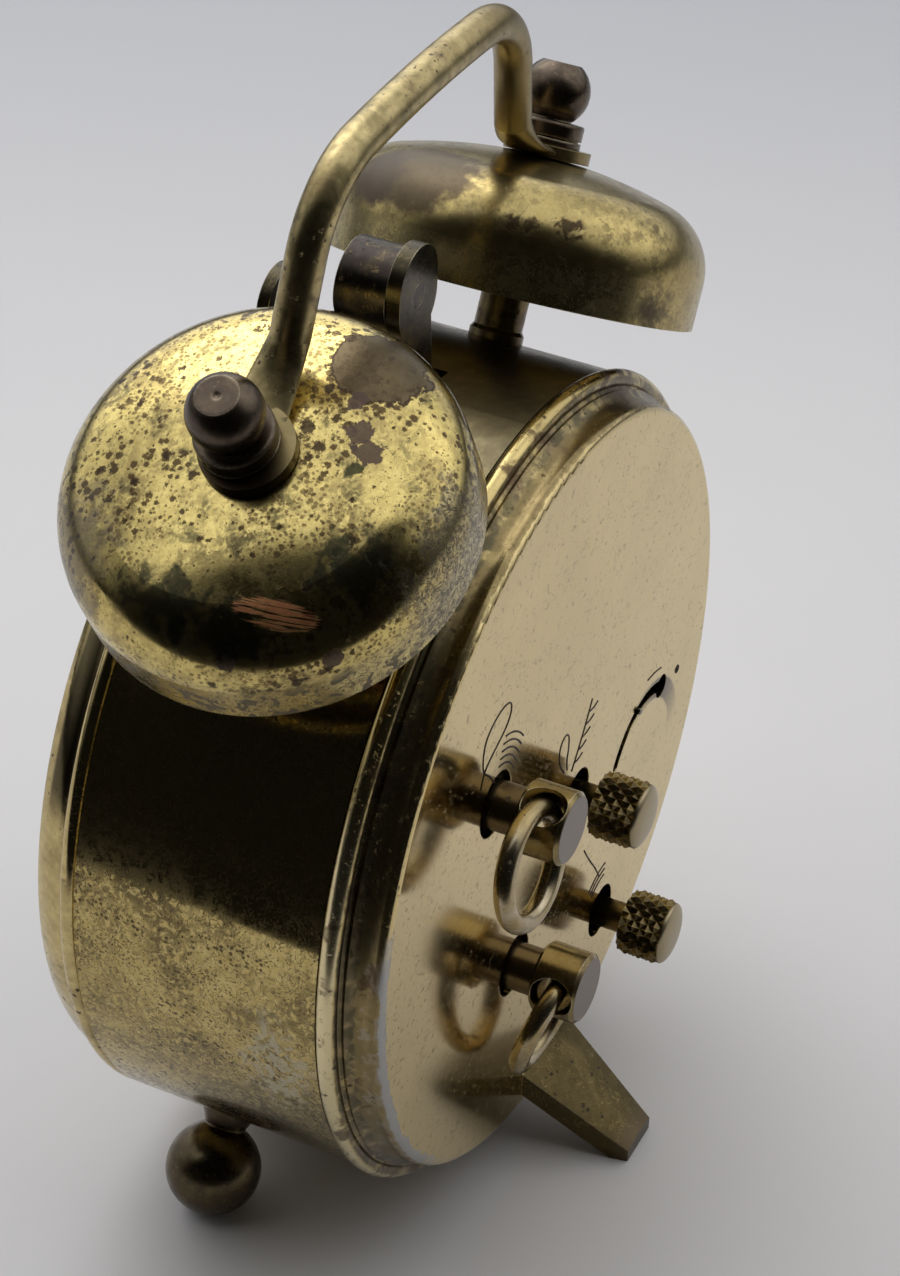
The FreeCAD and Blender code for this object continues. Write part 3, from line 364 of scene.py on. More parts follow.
def group_edges():
    """Wear on convex edges, and the normal that rounds them."""
    numbers = {"Radius": 0.1, "Amount": 0.5}
    tree, given, result = shared_group("Edge Wear", numbers, outputs=("Mask", "Normal"))
    radius = tree.math("MULTIPLY", given["Radius"], MM)
    soft = tree.node("ShaderNodeBevel", {"Radius": radius}, samples=4).outputs[0]
    face = tree.node("ShaderNodeNewGeometry").outputs["Normal"]
    turn = tree.math("SUBTRACT", 1.0, tree.dot(soft, face))
    chipped = tree.noise(given["Vector"], 2.4, 4.0, 0.65)
    gain = tree.math("MULTIPLY", turn, tree.span(chipped, 0.35, 0.6, 4.0, 26.0))
    gain = tree.math("MULTIPLY", gain, given["Amount"])
    tree.feed(result["Mask"], tree.math("MINIMUM", gain, 1.0))
    tree.feed(result["Normal"], soft)


def group_grain():
    """Fine unevenness of worn metal, for roughness and height."""
    tree, given, result = shared_group("Metal Grain", {"Scale": 2.0}, outputs=("Value", "Height"))
    coarse = tree.noise(given["Vector"], given["Scale"], 5.0, 0.6)
    fine = tree.noise(given["Vector"], tree.math("MULTIPLY", given["Scale"], 9.0), 2.0, 0.6)
    tree.feed(result["Value"], tree.span(coarse, 0.3, 0.7))
    tree.feed(result["Height"], tree.math("MULTIPLY_ADD", fine, 0.3, coarse))


def group_spot():
    """One ragged patch about a point."""
    numbers = {"Reach": 2.0, "Ragged": 1.0, "Soft": 0.2}
    tree, given, result = shared_group("Local Patch", numbers, ("Vector", "Centre", "Stretch"))
    away = tree.vector("SUBTRACT", given["Vector"], given["Centre"])
    length = tree.length(tree.vector("MULTIPLY", away, given["Stretch"]))
    torn = tree.noise(given["Vector"], 0.75, 6.0, 0.62, 0.3)
    torn = tree.math("MULTIPLY", tree.math("SUBTRACT", torn, 0.5), given["Ragged"])
    length = tree.math("MULTIPLY_ADD", torn, 4.0, length)
    edge = tree.math("SUBTRACT", given["Reach"], given["Soft"])
    tree.feed(result["Mask"], tree.span(length, given["Reach"], edge))


def group_band():
    """A ragged ring between two distances from the drum's axis."""
    numbers = {"Inner": 20.0, "Outer": 26.0, "Soft": 0.2, "Ragged": 0.3}
    tree, given, result = shared_group("Round Band", numbers)
    parts = tree.parts(given["Vector"])
    radius = tree.length(tree.joined(X=parts["X"], Y=tree.math("SUBTRACT", parts["Z"], AXIS_Z)))
    torn = tree.math("SUBTRACT", tree.noise(given["Vector"], 0.9, 6.0, 0.65), 0.5)
    radius = tree.math("MULTIPLY_ADD", torn, given["Ragged"], radius)
    low = tree.math("SUBTRACT", given["Inner"], given["Soft"])
    high = tree.math("ADD", given["Outer"], given["Soft"])
    inside = tree.span(radius, low, given["Inner"])
    tree.feed(result["Mask"], tree.math("MULTIPLY", inside, tree.span(radius, high, given["Outer"])))


def group_along():
    """Distance of a place along an axis, from a point on it."""
    tree, given, result = shared_group("Along Axis", {}, ("Vector", "Base", "Axis"), ("Value",))
    away = tree.vector("SUBTRACT", given["Vector"], given["Base"])
    tree.feed(result["Value"], tree.dot(away, given["Axis"]))


def group_streaks():
    """Short rubbed strokes that run one way inside one oval."""
    numbers = {"Pitch": 0.3, "Length": 2.4, "Height": 0.8}
    vectors = ("Vector", "Centre", "Along", "Across")
    tree, given, result = shared_group("Streaks", numbers, vectors)
    away = tree.vector("SUBTRACT", given["Vector"], given["Centre"])
    along = tree.dot(away, given["Along"])
    across = tree.dot(away, given["Across"])
    row = tree.math("DIVIDE", across, given["Pitch"])
    place = tree.joined(X=tree.math("MULTIPLY", along, 0.22), Y=row)
    stroke = tree.noise(place, 1.0, 3.0, 0.62, 0.2)
    oval = []
    for way, size in ((along, "Length"), (across, "Height")):
        oval.append(tree.math("POWER", tree.math("DIVIDE", way, given[size]), 2.0))
    rim = tree.math("ADD", *oval)
    rim = tree.math("MULTIPLY_ADD", tree.math("SUBTRACT", stroke, 0.5), 3.0, rim)
    inside = tree.span(rim, 1.1, 0.9)
    tree.feed(result["Mask"], tree.math("MULTIPLY", inside, tree.span(stroke, 0.43, 0.50)))


def shared_groups():
    """The effects that several materials use."""
    group_patches()
    group_specks()
    group_scratches()
    group_curls()
    group_edges()
    group_grain()
    group_spot()
    group_band()
    group_along()
    group_streaks()


class Finish:
    """A material made up in layers, each laid over the last by a mask."""

    def __init__(self, name, base, roughness, metallic=1.0):
        self.material = bpy.data.materials.new(name)
        self.material.use_nodes = True
        self.material.node_tree.nodes.clear()
        self.tree = Tree(self.material.node_tree)
        self.shader = self.tree.node("ShaderNodeBsdfPrincipled")
        self.tree.node("ShaderNodeOutputMaterial", {"Surface": self.shader.outputs[0]})
        place = self.tree.node("ShaderNodeTexCoord").outputs["Object"]
        self.mm = self.tree.scaled(place, TO_MM)
        self.base = (*base, 1.0)
        self.roughness = roughness
        self.metallic = metallic
        self.normal = None
        self.material.diffuse_color = self.base

    def mask(self, group, output="Mask", **numbers):
        """A shared group's mask at this material's place."""
        given = {key.capitalize(): value for key, value in numbers.items()}
        return self.tree.use(group, {"Vector": self.mm, **given}, output)

    def patches(self, **numbers):
        """Ragged patches: scale, amount, soft and seed."""
        return self.mask("Tarnish Patches", **numbers)

    def specks(self, **numbers):
        """Clustered specks: scale, size, rare, cluster and seed."""
        return self.mask("Specks", **numbers)

    def curls(self, **numbers):
        """Curled marks: scale, width, amount and seed."""
        return self.mask("Worm Marks", **numbers)

    def scratches(self, **numbers):
        """Straight scratches: scale, width and amount."""
        return self.mask("Fine Scratches", **numbers)

    def spot(self, centre, stretch=EVEN, **numbers):
        """One patch about a point: reach, ragged and soft."""
        return self.mask("Local Patch", centre=centre, stretch=stretch, **numbers)

    def band(self, **numbers):
        """A ring about the drum's axis: inner, outer, soft and ragged."""
        return self.mask("Round Band", **numbers)

    def edges(self, radius, amount):
        """Where edges are worn."""
        return self.mask("Edge Wear", radius=radius, amount=amount)

    def step(self, axis, low, high):
        """A smooth step along X, Y or Z, which falls where high is below low."""
        return self.tree.span(self.tree.parts(self.mm)[axis], low, high)

    def both(self, *masks, share=1.0):
        """Where all the masks meet, thinned to a share."""
        total = share
        for mask in masks:
            total = self.tree.math("MULTIPLY", mask, total)
        return total

    def without(self, mask, other):
        """A mask less one that lies inside it."""
        return self.tree.math("SUBTRACT", mask, other)

    def lay(self, mask, base=None, roughness=None, metallic=None, share=1.0):
        """Lay one finish over what is there."""
        if share < 1.0:
            mask = self.both(mask, share=share)
        if base is not None:
            self.base = self.tree.blend(mask, self.base, (*base, 1.0))
        if roughness is not None:
            self.roughness = self.tree.blend(mask, self.roughness, roughness)
        if metallic is not None:
            self.metallic = self.tree.blend(mask, self.metallic, metallic)

    def lay_spots(self, spots, *coat, soft, share, within=None):
        """One finish over several patches, each with its centre, stretch, reach and raggedness."""
        for centre, stretch, reach, ragged in spots:
            mask = self.spot(centre, stretch, reach=reach, ragged=ragged, soft=soft)
            if within is not None:
                mask = self.both(mask, within)
            self.lay(mask, *coat, share=share)

    def vary(self, low, high, scale=0.3):
        """Uneven polish between two roughnesses."""
        value = self.mask("Metal Grain", "Value", scale=scale)
        self.roughness = self.tree.blend(value, low, high)

    def round_edges(self, radius):
        """Catch the light on edges."""
        self.normal = self.mask("Edge Wear", "Normal", radius=radius)

    def height(self, value, depth, raised=True):
        """A relief of the given depth in millimetres."""
        inputs = {"Height": value, "Distance": depth * MM, "Strength": 1.0}
        if self.normal is not None:
            inputs["Normal"] = self.normal
        self.normal = self.tree.node("ShaderNodeBump", inputs, invert=not raised).outputs[0]

    def grain(self, scale, depth):
        """The relief of metal grain."""
        self.height(self.mask("Metal Grain", "Height", scale=scale), depth)

    def close(self):
        """Join the layers to the shader."""
        layers = {"Base Color": self.base, "Roughness": self.roughness, "Metallic": self.metallic}
        if self.normal is not None:
            layers["Normal"] = self.normal
        for key, value in layers.items():
            self.tree.feed(self.shader.inputs[key], value)
        return self.material


EDGE_REACH = 0.09


def wear(name, base, brass, rough=(0.18, 0.34), skin=0.35, specks=0.4, lines=0.4, edge=0.5, seed=0.0):
    """Brass with a brown skin, specks, scratches and worn edges, still open to more layers."""
    finish = Finish(name, base, rough[0])
    finish.vary(*rough)
    grain = finish.patches(scale=1.7, amount=0.55, soft=0.12, seed=seed + 5.0)
    darker = [0.72 * value for value in base]
    finish.lay(grain, darker, share=0.6)
    film = finish.patches(scale=0.22, amount=skin, soft=0.14, seed=seed)
    finish.lay(film, brass.dull, rough[1] + 0.04, share=0.7)
    stain = finish.patches(scale=0.5, amount=skin * 0.5, soft=0.08, seed=seed + 40.0)
    finish.lay(stain, brass.brown, 0.42, 0.85, share=0.7)
    speck = finish.specks(scale=1.9, size=0.42, rare=2.0, cluster=1.0 - specks, seed=seed)
    finish.lay(speck, brass.dark, 0.5, 0.5, share=0.85)
    scratch = finish.scratches(scale=1.4, width=0.016, amount=lines)
    finish.lay(scratch, brass.dull, 0.42, share=0.6)
    if edge > 0.0:
        finish.lay(finish.edges(EDGE_REACH, edge), brass.worn, 0.28, share=0.8)
        finish.round_edges(EDGE_REACH)
    finish.grain(1.6, 0.004)
    finish.height(speck, 0.02, False)
    return finish


def dress(material, *nodes):
    """Give CAD nodes their finish."""
    for node in nodes:
        for slot in frame["nodes"][node].material_slots:
            slot.material = material


def metres(x, y, z):
    """A point given in millimetres from the drum's axis at the bead."""
    return Vector((x, y + AXIS_Y, z + AXIS_Z)) * MM


def about(place, radius, y, turn):
    """A point at a radius and a turn about an axis along Y."""
    return metres(place[0] + radius * math.cos(turn), y, place[1] + radius * math.sin(turn))


def add_piece(name, mesh, body, material):
    """A mesh as a piece that rides on a body."""
    piece = bpy.data.objects.new(name, mesh)
    bpy.context.scene.collection.objects.link(piece)
    piece.data.materials.append(material)
    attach(piece, body)
    return piece


def mesh_from(name, build, smooth=True):
    """A mesh filled by a function that works on a bmesh."""
    work = bmesh.new()
    build(work)
    bmesh.ops.recalc_face_normals(work, faces=work.faces)
    mesh = bpy.data.meshes.new(name)
    work.to_mesh(mesh)
    work.free()
    for face in mesh.polygons:
        face.use_smooth = smooth
    return mesh


def join_rings(work, lower, upper):
    """Faces between two rings of points, either of which may be one point."""
    steps = max(len(lower), len(upper))
    for i in range(steps):
        after = (i + 1) % steps
        around = ((lower, i), (lower, after), (upper, after), (upper, i))
        corners = [ring[place % len(ring)] for ring, place in around]
        work.faces.new(list(dict.fromkeys(corners)))


def spin(work, profile, place, steps=64):
    """Turn a profile of radius and Y pairs about an axis along Y."""
    rings = []
    for radius, y in profile:
        turns = [FULL * i / steps for i in range(steps)] if radius > 0.0 else [0.0]
        rings.append([work.verts.new(about(place, radius, y, turn)) for turn in turns])
    for lower, upper in zip(rings, rings[1:]):
        join_rings(work, lower, upper)


def knurl(work, knobs, back, place):
    """Diamond points round the knob, in rows that lie half a point apart."""
    columns = 2 * knobs.around
    rows = 2 * knobs.along
    pitch = knobs.length / rows
    low = knobs.radius - knobs.depth
    blunt = 0.55

    def corner(column, row, rise):
        turn = FULL * column / columns
        return work.verts.new(about(place, low + knobs.depth * rise, back + row * pitch, turn))

    valleys = {}
    for row in range(rows + 1):
        for column in range(row % 2, columns, 2):
            valleys[(column, row)] = corner(column, row, 0.0)
    for row in range(rows + 1):
        for column in range((row + 1) % 2, columns, 2):
            peak = corner(column, row, blunt if row in (0, rows) else 1.0)
            left = valleys[((column - 1) % columns, row)]
            right = valleys[((column + 1) % columns, row)]
            if row > 0:
                under = valleys[(column, row - 1)]
                work.faces.new((under, right, peak))
                work.faces.new((left, under, peak))
            if row < rows:
                over = valleys[(column, row + 1)]
                work.faces.new((right, over, peak))
                work.faces.new((over, left, peak))


def knob_mesh(name, knobs, back, place, arbor_end, arbor_tip, tip_radius):
    """The knob with its stem and arbor."""
    low = knobs.radius - knobs.depth
    front = back + knobs.length
    ease = 0.1
    chamfer = 0.12
    lip = 0.03
    tuck = 0.06
    shaft = [
        (0.0, arbor_tip),
        (tip_radius, arbor_tip),
        (tip_radius, arbor_end),
        (knobs.stem, arbor_end),
        (knobs.stem, back - ease),
        (knobs.stem + ease, back),
        (low - chamfer, back),
        (low + lip, back + tuck),
    ]
    cap = [(low + chamfer, front - tuck), (low + ease, front + lip)]
    steps = 6
    for i in range(1, steps):
        turn = i / steps * math.pi / 2
        rise = lip + (knobs.dome - lip) * math.sin(turn) ** 1.3
        cap.append(((low + ease) * math.cos(turn) ** 0.6, front + rise))
    cap.append((0.0, front + knobs.dome))

    def build(work):
        spin(work, shaft, place)
        spin(work, cap, place)
        knurl(work, knobs, back, place)

    mesh = mesh_from(name, build, False)
    for face in mesh.polygons:
        radial = math.hypot(face.center.x / MM - place[0], face.center.z / MM - AXIS_Z - place[1])
        y = face.center.y / MM - AXIS_Y
        on_knurl = back < y < front and radial > low * 0.97
        face.use_smooth = not on_knurl
    return mesh


SENSOR_HEIGHT = 36.0
NEAREST = 0.01

# Grid cells along the floor, and where it turns to its far colour of painted shade, in millimetres
# behind the middle.
FLOOR_STEPS = 24
FLOOR_TURN = (50.0, 210.0)

# The windows behind the clock: turn and rise in degrees, the cosines of the angles from its middle
# at which each is full and gone, and its share of the brightness.
WINDOWS = ((-45.0, 34.0, 0.93, 0.80, 0.7), (-150.0, 42.0, 0.95, 0.84, 0.45))
DAYLIGHT = (0.97, 0.98, 1.0, 1.0)
BACKDROP = (0.52, 0.52, 0.54, 1.0)

LAMP_SIZE = 0.28
LAMP_TURN = math.radians(-38.0)
LAMP_RISE = math.radians(56.0)
LAMP_DISTANCE = 0.42
LAMP_TARGET = Vector((0.0, 0.0, 0.03))


class CLOCK_OT_stage(bpy.types.Operator):
    """Camera, floor, world light and lamp"""

    bl_idname = "clock.stage"
    bl_label = "Stage"

    def execute(self, context):
        view = context.scene.clock_view
        room = context.scene.clock_room
        place_camera(context.scene, view)
        lay_floor(room, view)
        light_room(context.scene, room, view)
        hang_lamp(room)
        context.scene.view_settings.view_transform = "Standard"
        return {"FINISHED"}


def direction(turn, rise=0.0):
    """The way outwards at a turn about the clock and a rise above the horizon."""
    level = math.cos(rise)
    return Vector((math.sin(turn) * level, -math.cos(turn) * level, math.sin(rise)))


def place_camera(scene, view):
    """The camera at the photograph's place."""
    back = direction(view.azimuth, view.elevation)
    right = Vector((math.cos(view.azimuth), math.sin(view.azimuth), 0.0))
    up = back.cross(right)
    across = math.cos(view.roll) * right + math.sin(view.roll) * up
    upward = math.cos(view.roll) * up - math.sin(view.roll) * right
    data = bpy.data.cameras.new("camera")
    data.sensor_fit = "VERTICAL"
    data.sensor_height = SENSOR_HEIGHT
    data.lens = view.lens
    data.clip_start = NEAREST
    camera = bpy.data.objects.new("camera", data)
    scene.collection.objects.link(camera)
    matrix = camera.matrix_world.copy()
    for column, axis in enumerate((across, upward, back)):
        for row in range(3):
            matrix[row][column] = axis[row]
    matrix.translation = metres(*(back * view.distance + across * view.across + upward * view.up))
    camera.matrix_world = matrix
    scene.camera = camera


def lay_floor(room, view):
    """A pale floor that ends a little in front of the picture, so that the near side is dark."""
    near = direction(view.azimuth)
    side = Vector((-near.y, near.x, 0.0))

    def build(work):
        grid = []
        for i in range(FLOOR_STEPS + 1):
            along = -room.floor_far + (room.floor_far + room.floor_near) * i / FLOOR_STEPS
            row = []
            for j in range(FLOOR_STEPS + 1):
                across = -room.floor_far + 2 * room.floor_far * j / FLOOR_STEPS
                row.append(work.verts.new((near * along + side * across) * MM))
            grid.append(row)
        for lower, upper in zip(grid, grid[1:]):
            for j in range(FLOOR_STEPS):
                work.faces.new((lower[j], lower[j + 1], upper[j + 1], upper[j]))

    floor = bpy.data.objects.new("floor", mesh_from("floor", build))
    bpy.context.scene.collection.objects.link(floor)
    floor.data.materials.append(floor_finish(room, -near))


def floor_finish(room, away):
    """Pale paper, greyer far behind the clock with painted shade."""
    finish = Finish("floor_paper", room.floor_colour, 0.55, 0.0)
    behind = finish.mask("Along Axis", "Value", base=(0.0, 0.0, 0.0), axis=tuple(away))
    # Painted shade: the floor turns to its far colour behind the clock.
    finish.lay(finish.tree.span(behind, *FLOOR_TURN), room.floor_back)
    cloud = finish.mask("Metal Grain", "Value", scale=0.01)
    finish.lay(cloud, room.floor_back, share=0.12)
    finish.grain(0.8, 0.01)
    return finish.close()


def light_room(scene, room, view):
    """Light from behind and above, and a dark side behind the camera."""
    world = bpy.data.worlds.new("room")
    world.use_nodes = True
    world.node_tree.nodes.clear()
    tree = Tree(world.node_tree)
    way = tree.node("ShaderNodeTexCoord").outputs["Generated"]
    facing = tree.dot(way, tuple(direction(view.azimuth)))
    height = tree.parts(way)["Z"]
    wall = tree.math("MULTIPLY", tree.span(facing, 0.42, -0.40), tree.span(height, -0.10, 0.22))
    total = tree.math("MULTIPLY", wall, room.wall)
    for turn, rise, full, gone, share in WINDOWS:
        aim = direction(math.radians(turn), math.radians(rise))
        glow = tree.span(tree.dot(way, tuple(aim)), gone, full)
        total = tree.math("ADD", total, tree.math("MULTIPLY", glow, room.window * share))
    over = tree.math("MULTIPLY", tree.span(height, 0.45, 0.82), tree.span(facing, 0.34, 0.22))
    top = tree.math("MULTIPLY", over, room.ceiling)
    total = tree.math("ADD", tree.math("MAXIMUM", total, top), room.dark)
    cast = tree.node("ShaderNodeBackground", {"Color": DAYLIGHT, "Strength": total}).outputs[0]
    seen = tree.node("ShaderNodeBackground", {"Color": BACKDROP, "Strength": 1.0}).outputs[0]
    ray = tree.node("ShaderNodeLightPath").outputs["Is Camera Ray"]
    mix = tree.node("ShaderNodeMixShader", {0: ray, 1: cast, 2: seen}).outputs[0]
    tree.node("ShaderNodeOutputWorld", {"Surface": mix})
    scene.world = world


def hang_lamp(room):
    """One large soft lamp above and behind the clock."""
    data = bpy.data.lights.new("soft_lamp", "AREA")
    data.shape = "DISK"
    data.size = LAMP_SIZE
    data.energy = room.key
    lamp = bpy.data.objects.new("soft_lamp", data)
    bpy.context.scene.collection.objects.link(lamp)
    way = direction(LAMP_TURN, LAMP_RISE)
    lamp.location = way * LAMP_DISTANCE + LAMP_TARGET
    lamp.rotation_euler = way.to_track_quat("Z", "Y").to_euler()


class CLOCK_OT_case(bpy.types.Operator):
    """Drum, back cover, bezel, dial ring and glass"""

    bl_idname = "clock.case"
    bl_label = "Case"

    def execute(self, context):
        brass = context.scene.clock_brass
        dress(drum_finish(brass), "drum")
        dress(back_finish(brass), "back_cover")
        dress(bezel_finish(brass), "front_bezel")
        dress(wear("dial_ring_brass", brass.bright, brass, seed=7.0).close(), "dial_ring")
        dress(glass_finish(), "crystal")
        return {"FINISHED"}


def drum_finish(brass):
    """Mirror-like wall with curled dark marks, bleached flecks low down, and a brown crest of painted
    shade under the bells, mottled darker in patches.
    """
    finish = Finish("drum_brass", (0.63, 0.50, 0.21), 0.06)
    finish.vary(0.03, 0.07, 0.2)
    grain = finish.patches(scale=1.6, amount=0.55, soft=0.12, seed=8.0)
    finish.lay(grain, brass.golden, 0.1, share=0.6)
    cloud = finish.patches(scale=0.16, amount=0.5, soft=0.14, seed=3.0)
    flecks = finish.patches(scale=2.1, amount=0.6, soft=0.07, seed=14.0)
    finish.lay(finish.both(cloud, flecks), (0.12, 0.092, 0.045), 0.3, 0.95, share=0.75)
    hair = finish.curls(scale=1.1, width=0.026, amount=0.9, seed=0.0)
    finish.lay(hair, (0.075, 0.055, 0.035), 0.3, 0.9)
    hair = finish.curls(scale=2.3, width=0.022, amount=0.6, seed=11.0)
    finish.lay(hair, brass.dull, 0.2, share=0.7)
    speck = finish.specks(scale=3.4, size=0.66, rare=1.2, cluster=0.3, seed=6.0)
    finish.lay(speck, (0.085, 0.06, 0.03), 0.3, 0.9, share=0.85)
    low = finish.spot((27.0, 1.8, 24.0), (0.6, 1.0, 0.5), reach=3.0, ragged=1.2, soft=1.8)
    bleach = finish.patches(scale=1.5, amount=0.5, soft=0.04, seed=23.0)
    finish.lay(finish.both(low, bleach), (0.64, 0.575, 0.40), 0.5, 0.5, share=0.8)
    # Painted shade: the top of the drum under the bells is laid darker brown.
    crest = finish.step("Z", 50.0, 55.5)
    finish.lay(crest, (0.19, 0.16, 0.095), 0.3, share=0.88)
    mottle = finish.patches(scale=0.5, amount=0.55, soft=0.16, seed=45.0)
    finish.lay(finish.both(crest, mottle), (0.10, 0.078, 0.042), 0.34, 0.95, share=0.65)
    finish.grain(1.3, 0.0006)
    return finish.close()


# Radius at which the cove begins, the Y below which cove and bead lie, and the middle of the slot's arc.
COVE = 26.35
UNDER_PLATE = 8.1
SLOT_MIDDLE = (BALANCE[0], 8.6, AXIS_Z + BALANCE[1])


def back_finish(brass):
    """Champagne satin plate, brown cove, worn silver rim line, a bright bead with a painted highlight,
    and painted shade by the slot.
    """
    finish = Finish("back_brass", brass.satin, 0.1)
    finish.vary(0.085, 0.15, 0.12)
    bloom = finish.patches(scale=0.08, amount=0.55, soft=0.25, seed=21.0)
    finish.lay(bloom, (0.62, 0.485, 0.225), 0.13, share=0.8)
    grain = finish.patches(scale=1.9, amount=0.5, soft=0.14, seed=2.0)
    finish.lay(grain, (0.66, 0.52, 0.28), share=0.4)
    pit = finish.curls(scale=1.5, width=0.022, amount=0.36, seed=5.0)
    finish.lay(pit, (0.09, 0.065, 0.035), 0.16, share=0.9)
    scratch = finish.scratches(scale=0.8, width=0.010, amount=0.42)
    finish.lay(scratch, brass.dull, 0.2, share=0.6)
    stain_cove(finish, brass)
    wear_rim(finish, brass)
    age_bead(finish, brass)
    darken_slot(finish, brass)
    finish.round_edges(0.1)
    finish.grain(1.2, 0.0015)
    finish.height(pit, 0.012, False)
    return finish.close()


def stain_cove(finish, brass):
    """Brown and olive stains in the cove beside the bead."""
    cove = finish.band(inner=COVE, outer=28.6, soft=0.12, ragged=0.3)
    finish.lay(cove, (0.60, 0.47, 0.20), 0.2)
    deep = finish.band(inner=COVE, outer=27.5, soft=0.25, ragged=0.5)
    stain = finish.patches(scale=0.30, amount=0.65, soft=0.14, seed=60.0)
    finish.lay(finish.both(stain, deep), brass.brown, 0.3, 0.95, share=0.8)
    green = finish.patches(scale=0.7, amount=0.5, soft=0.08, seed=66.0)
    finish.lay(finish.both(green, deep), brass.olive, 0.3, 0.9, share=0.8)


def wear_rim(finish, brass):
    """The plate's rim, bare and grey low on the near side, with a brown line outside it."""
    rim = finish.band(inner=25.55, outer=26.2, soft=0.08, ragged=1.1)
    side = finish.spot((25.5, 8.6, 22.0), reach=16.0, ragged=1.5, soft=5.0)
    finish.lay(finish.both(rim, side), (0.45, 0.44, 0.42), 0.4)
    line = finish.band(inner=26.2, outer=26.4, soft=0.1, ragged=0.5)
    finish.lay(line, brass.dull, 0.3, share=0.7)


def age_bead(finish, brass):
    """A painted highlight along a stretch of the bead low on the near side, and rust and specks on bead
    and cove.
    """
    # Painted highlight: a pale stretch of the bead, low on the near side.
    right = finish.step("X", 4.0, 14.0)
    front = finish.step("Y", 6.12, 6.0)
    below = finish.step("Z", 46.0, 40.0)
    finish.lay(finish.both(right, front, below), (0.84, 0.73, 0.46), 0.26, share=0.7)
    under = finish.step("Y", UNDER_PLATE + 0.2, UNDER_PLATE)
    rust = finish.patches(scale=0.35, amount=0.3, soft=0.05, seed=12.0)
    finish.lay(finish.both(rust, under), (0.12, 0.075, 0.04), 0.35, 0.9, share=0.85)
    speck = finish.specks(scale=1.7, size=0.45, rare=2.2, cluster=0.8, seed=2.0)
    finish.lay(finish.both(speck, under), brass.dark, 0.4, 0.8, share=0.85)


def darken_slot(finish, brass):
    """Painted shade: a dark arc along the upper part of the regulator's slot."""
    outer = finish.spot(SLOT_MIDDLE, reach=6.55, ragged=0.05, soft=0.25)
    inner = finish.spot(SLOT_MIDDLE, reach=5.0, ragged=0.05, soft=0.25)
    top = finish.spot((-17.9, 8.6, 26.2), reach=6.5, ragged=0.2, soft=6.0)
    finish.lay(finish.both(finish.without(outer, inner), top), brass.dark, 0.16, share=0.9)


def bezel_finish(brass):
    """Brass of the bezel: bright rim and bead, and painted shade on the upper part of the flank between
    them.
    """
    base = (0.68, 0.54, 0.25)
    finish = wear("bezel_brass", base, brass, (0.08, 0.16), specks=0.3, edge=0.3, seed=13.0)
    # Painted shade: the flank is laid dark on its upper part only.
    flank = finish.step("Y", -15.15, -14.85)
    behind = finish.step("Y", -13.5, -13.8)
    upper = finish.step("Z", 36.0, 39.0)
    finish.lay(finish.both(flank, behind, upper), (0.075, 0.062, 0.036), 0.14, share=0.9)
    return finish.close()


def glass_finish():
    """Clear glass with faint smears."""
    finish = Finish("glass", (0.96, 0.98, 0.97), 0.03, 0.0)
    finish.shader.inputs["Transmission Weight"].default_value = 1.0
    finish.shader.inputs["IOR"].default_value = 1.5
    smear = finish.patches(scale=0.12, amount=0.45, soft=0.15, seed=9.0)
    finish.lay(smear, None, 0.09)
    return finish.close()


# Sine and cosine of a bell's lean, a point on its axis, and the distance along it to the skirt.
BELL_LEAN = (0.4818, 0.8763)
BELL_FOOT = (1.15, -3.775, 29.5)
SKIRT = 34.2


class CLOCK_OT_bells(bpy.types.Operator):
    """The two bells"""

    bl_idname = "clock.bells"
    bl_label = "Bells"

    def execute(self, context):
        brass = context.scene.clock_brass
        dress(near_bell_finish(brass), "bell_right")
        dress(far_bell_finish(brass), "bell_left")
        return {"FINISHED"}


def bell_base(name, brass, seed, side, base, rough, dirt):
    """Yellow brass, mottled, with clustered specks and curls, and a stained skirt."""
    finish = Finish(name, base, rough[0])
    finish.vary(*rough, 0.25)
    grain = finish.patches(scale=2.4, amount=0.52, soft=0.12, seed=seed + 5.0)
    finish.lay(grain, brass.golden, 0.16, share=0.5)
    haze = finish.patches(scale=0.26, amount=0.46, soft=0.12, seed=seed)
    close = finish.patches(scale=1.7, amount=0.60, soft=0.10, seed=seed + 11.0)
    finish.lay(finish.both(haze, close), brass.dull, 0.26, share=0.7)
    film = finish.patches(scale=0.45, amount=0.30, soft=0.08, seed=seed + 17.0)
    finish.lay(finish.both(film, close), brass.olive, 0.3, 0.95, share=0.8)
    fine = finish.specks(scale=2.1, size=0.80, rare=1.2, cluster=0.45, seed=seed + 3.0)
    finish.lay(fine, (0.060, 0.036, 0.018), 0.28, 0.95, share=0.9 * dirt)
    tiny = finish.specks(scale=4.0, size=0.85, rare=1.0, cluster=0.3, seed=seed + 13.0)
    finish.lay(tiny, (0.20, 0.14, 0.055), 0.24, share=0.85 * dirt)
    speck = finish.specks(scale=1.1, size=0.70, rare=2.0, cluster=0.55, seed=seed)
    finish.lay(speck, brass.dark, 0.32, 0.92, share=0.92 * dirt)
    curl = finish.curls(scale=1.7, width=0.03, amount=0.45, seed=seed)
    finish.lay(curl, brass.dark, 0.3, 0.92, share=0.8 * dirt)
    stain_skirt(finish, brass, seed, side, dirt)
    finish.lay(finish.edges(0.12, 0.9), brass.worn, 0.3, share=0.6)
    finish.round_edges(0.12)
    finish.grain(1.1, 0.004)
    finish.height(speck, 0.002, False)
    return finish


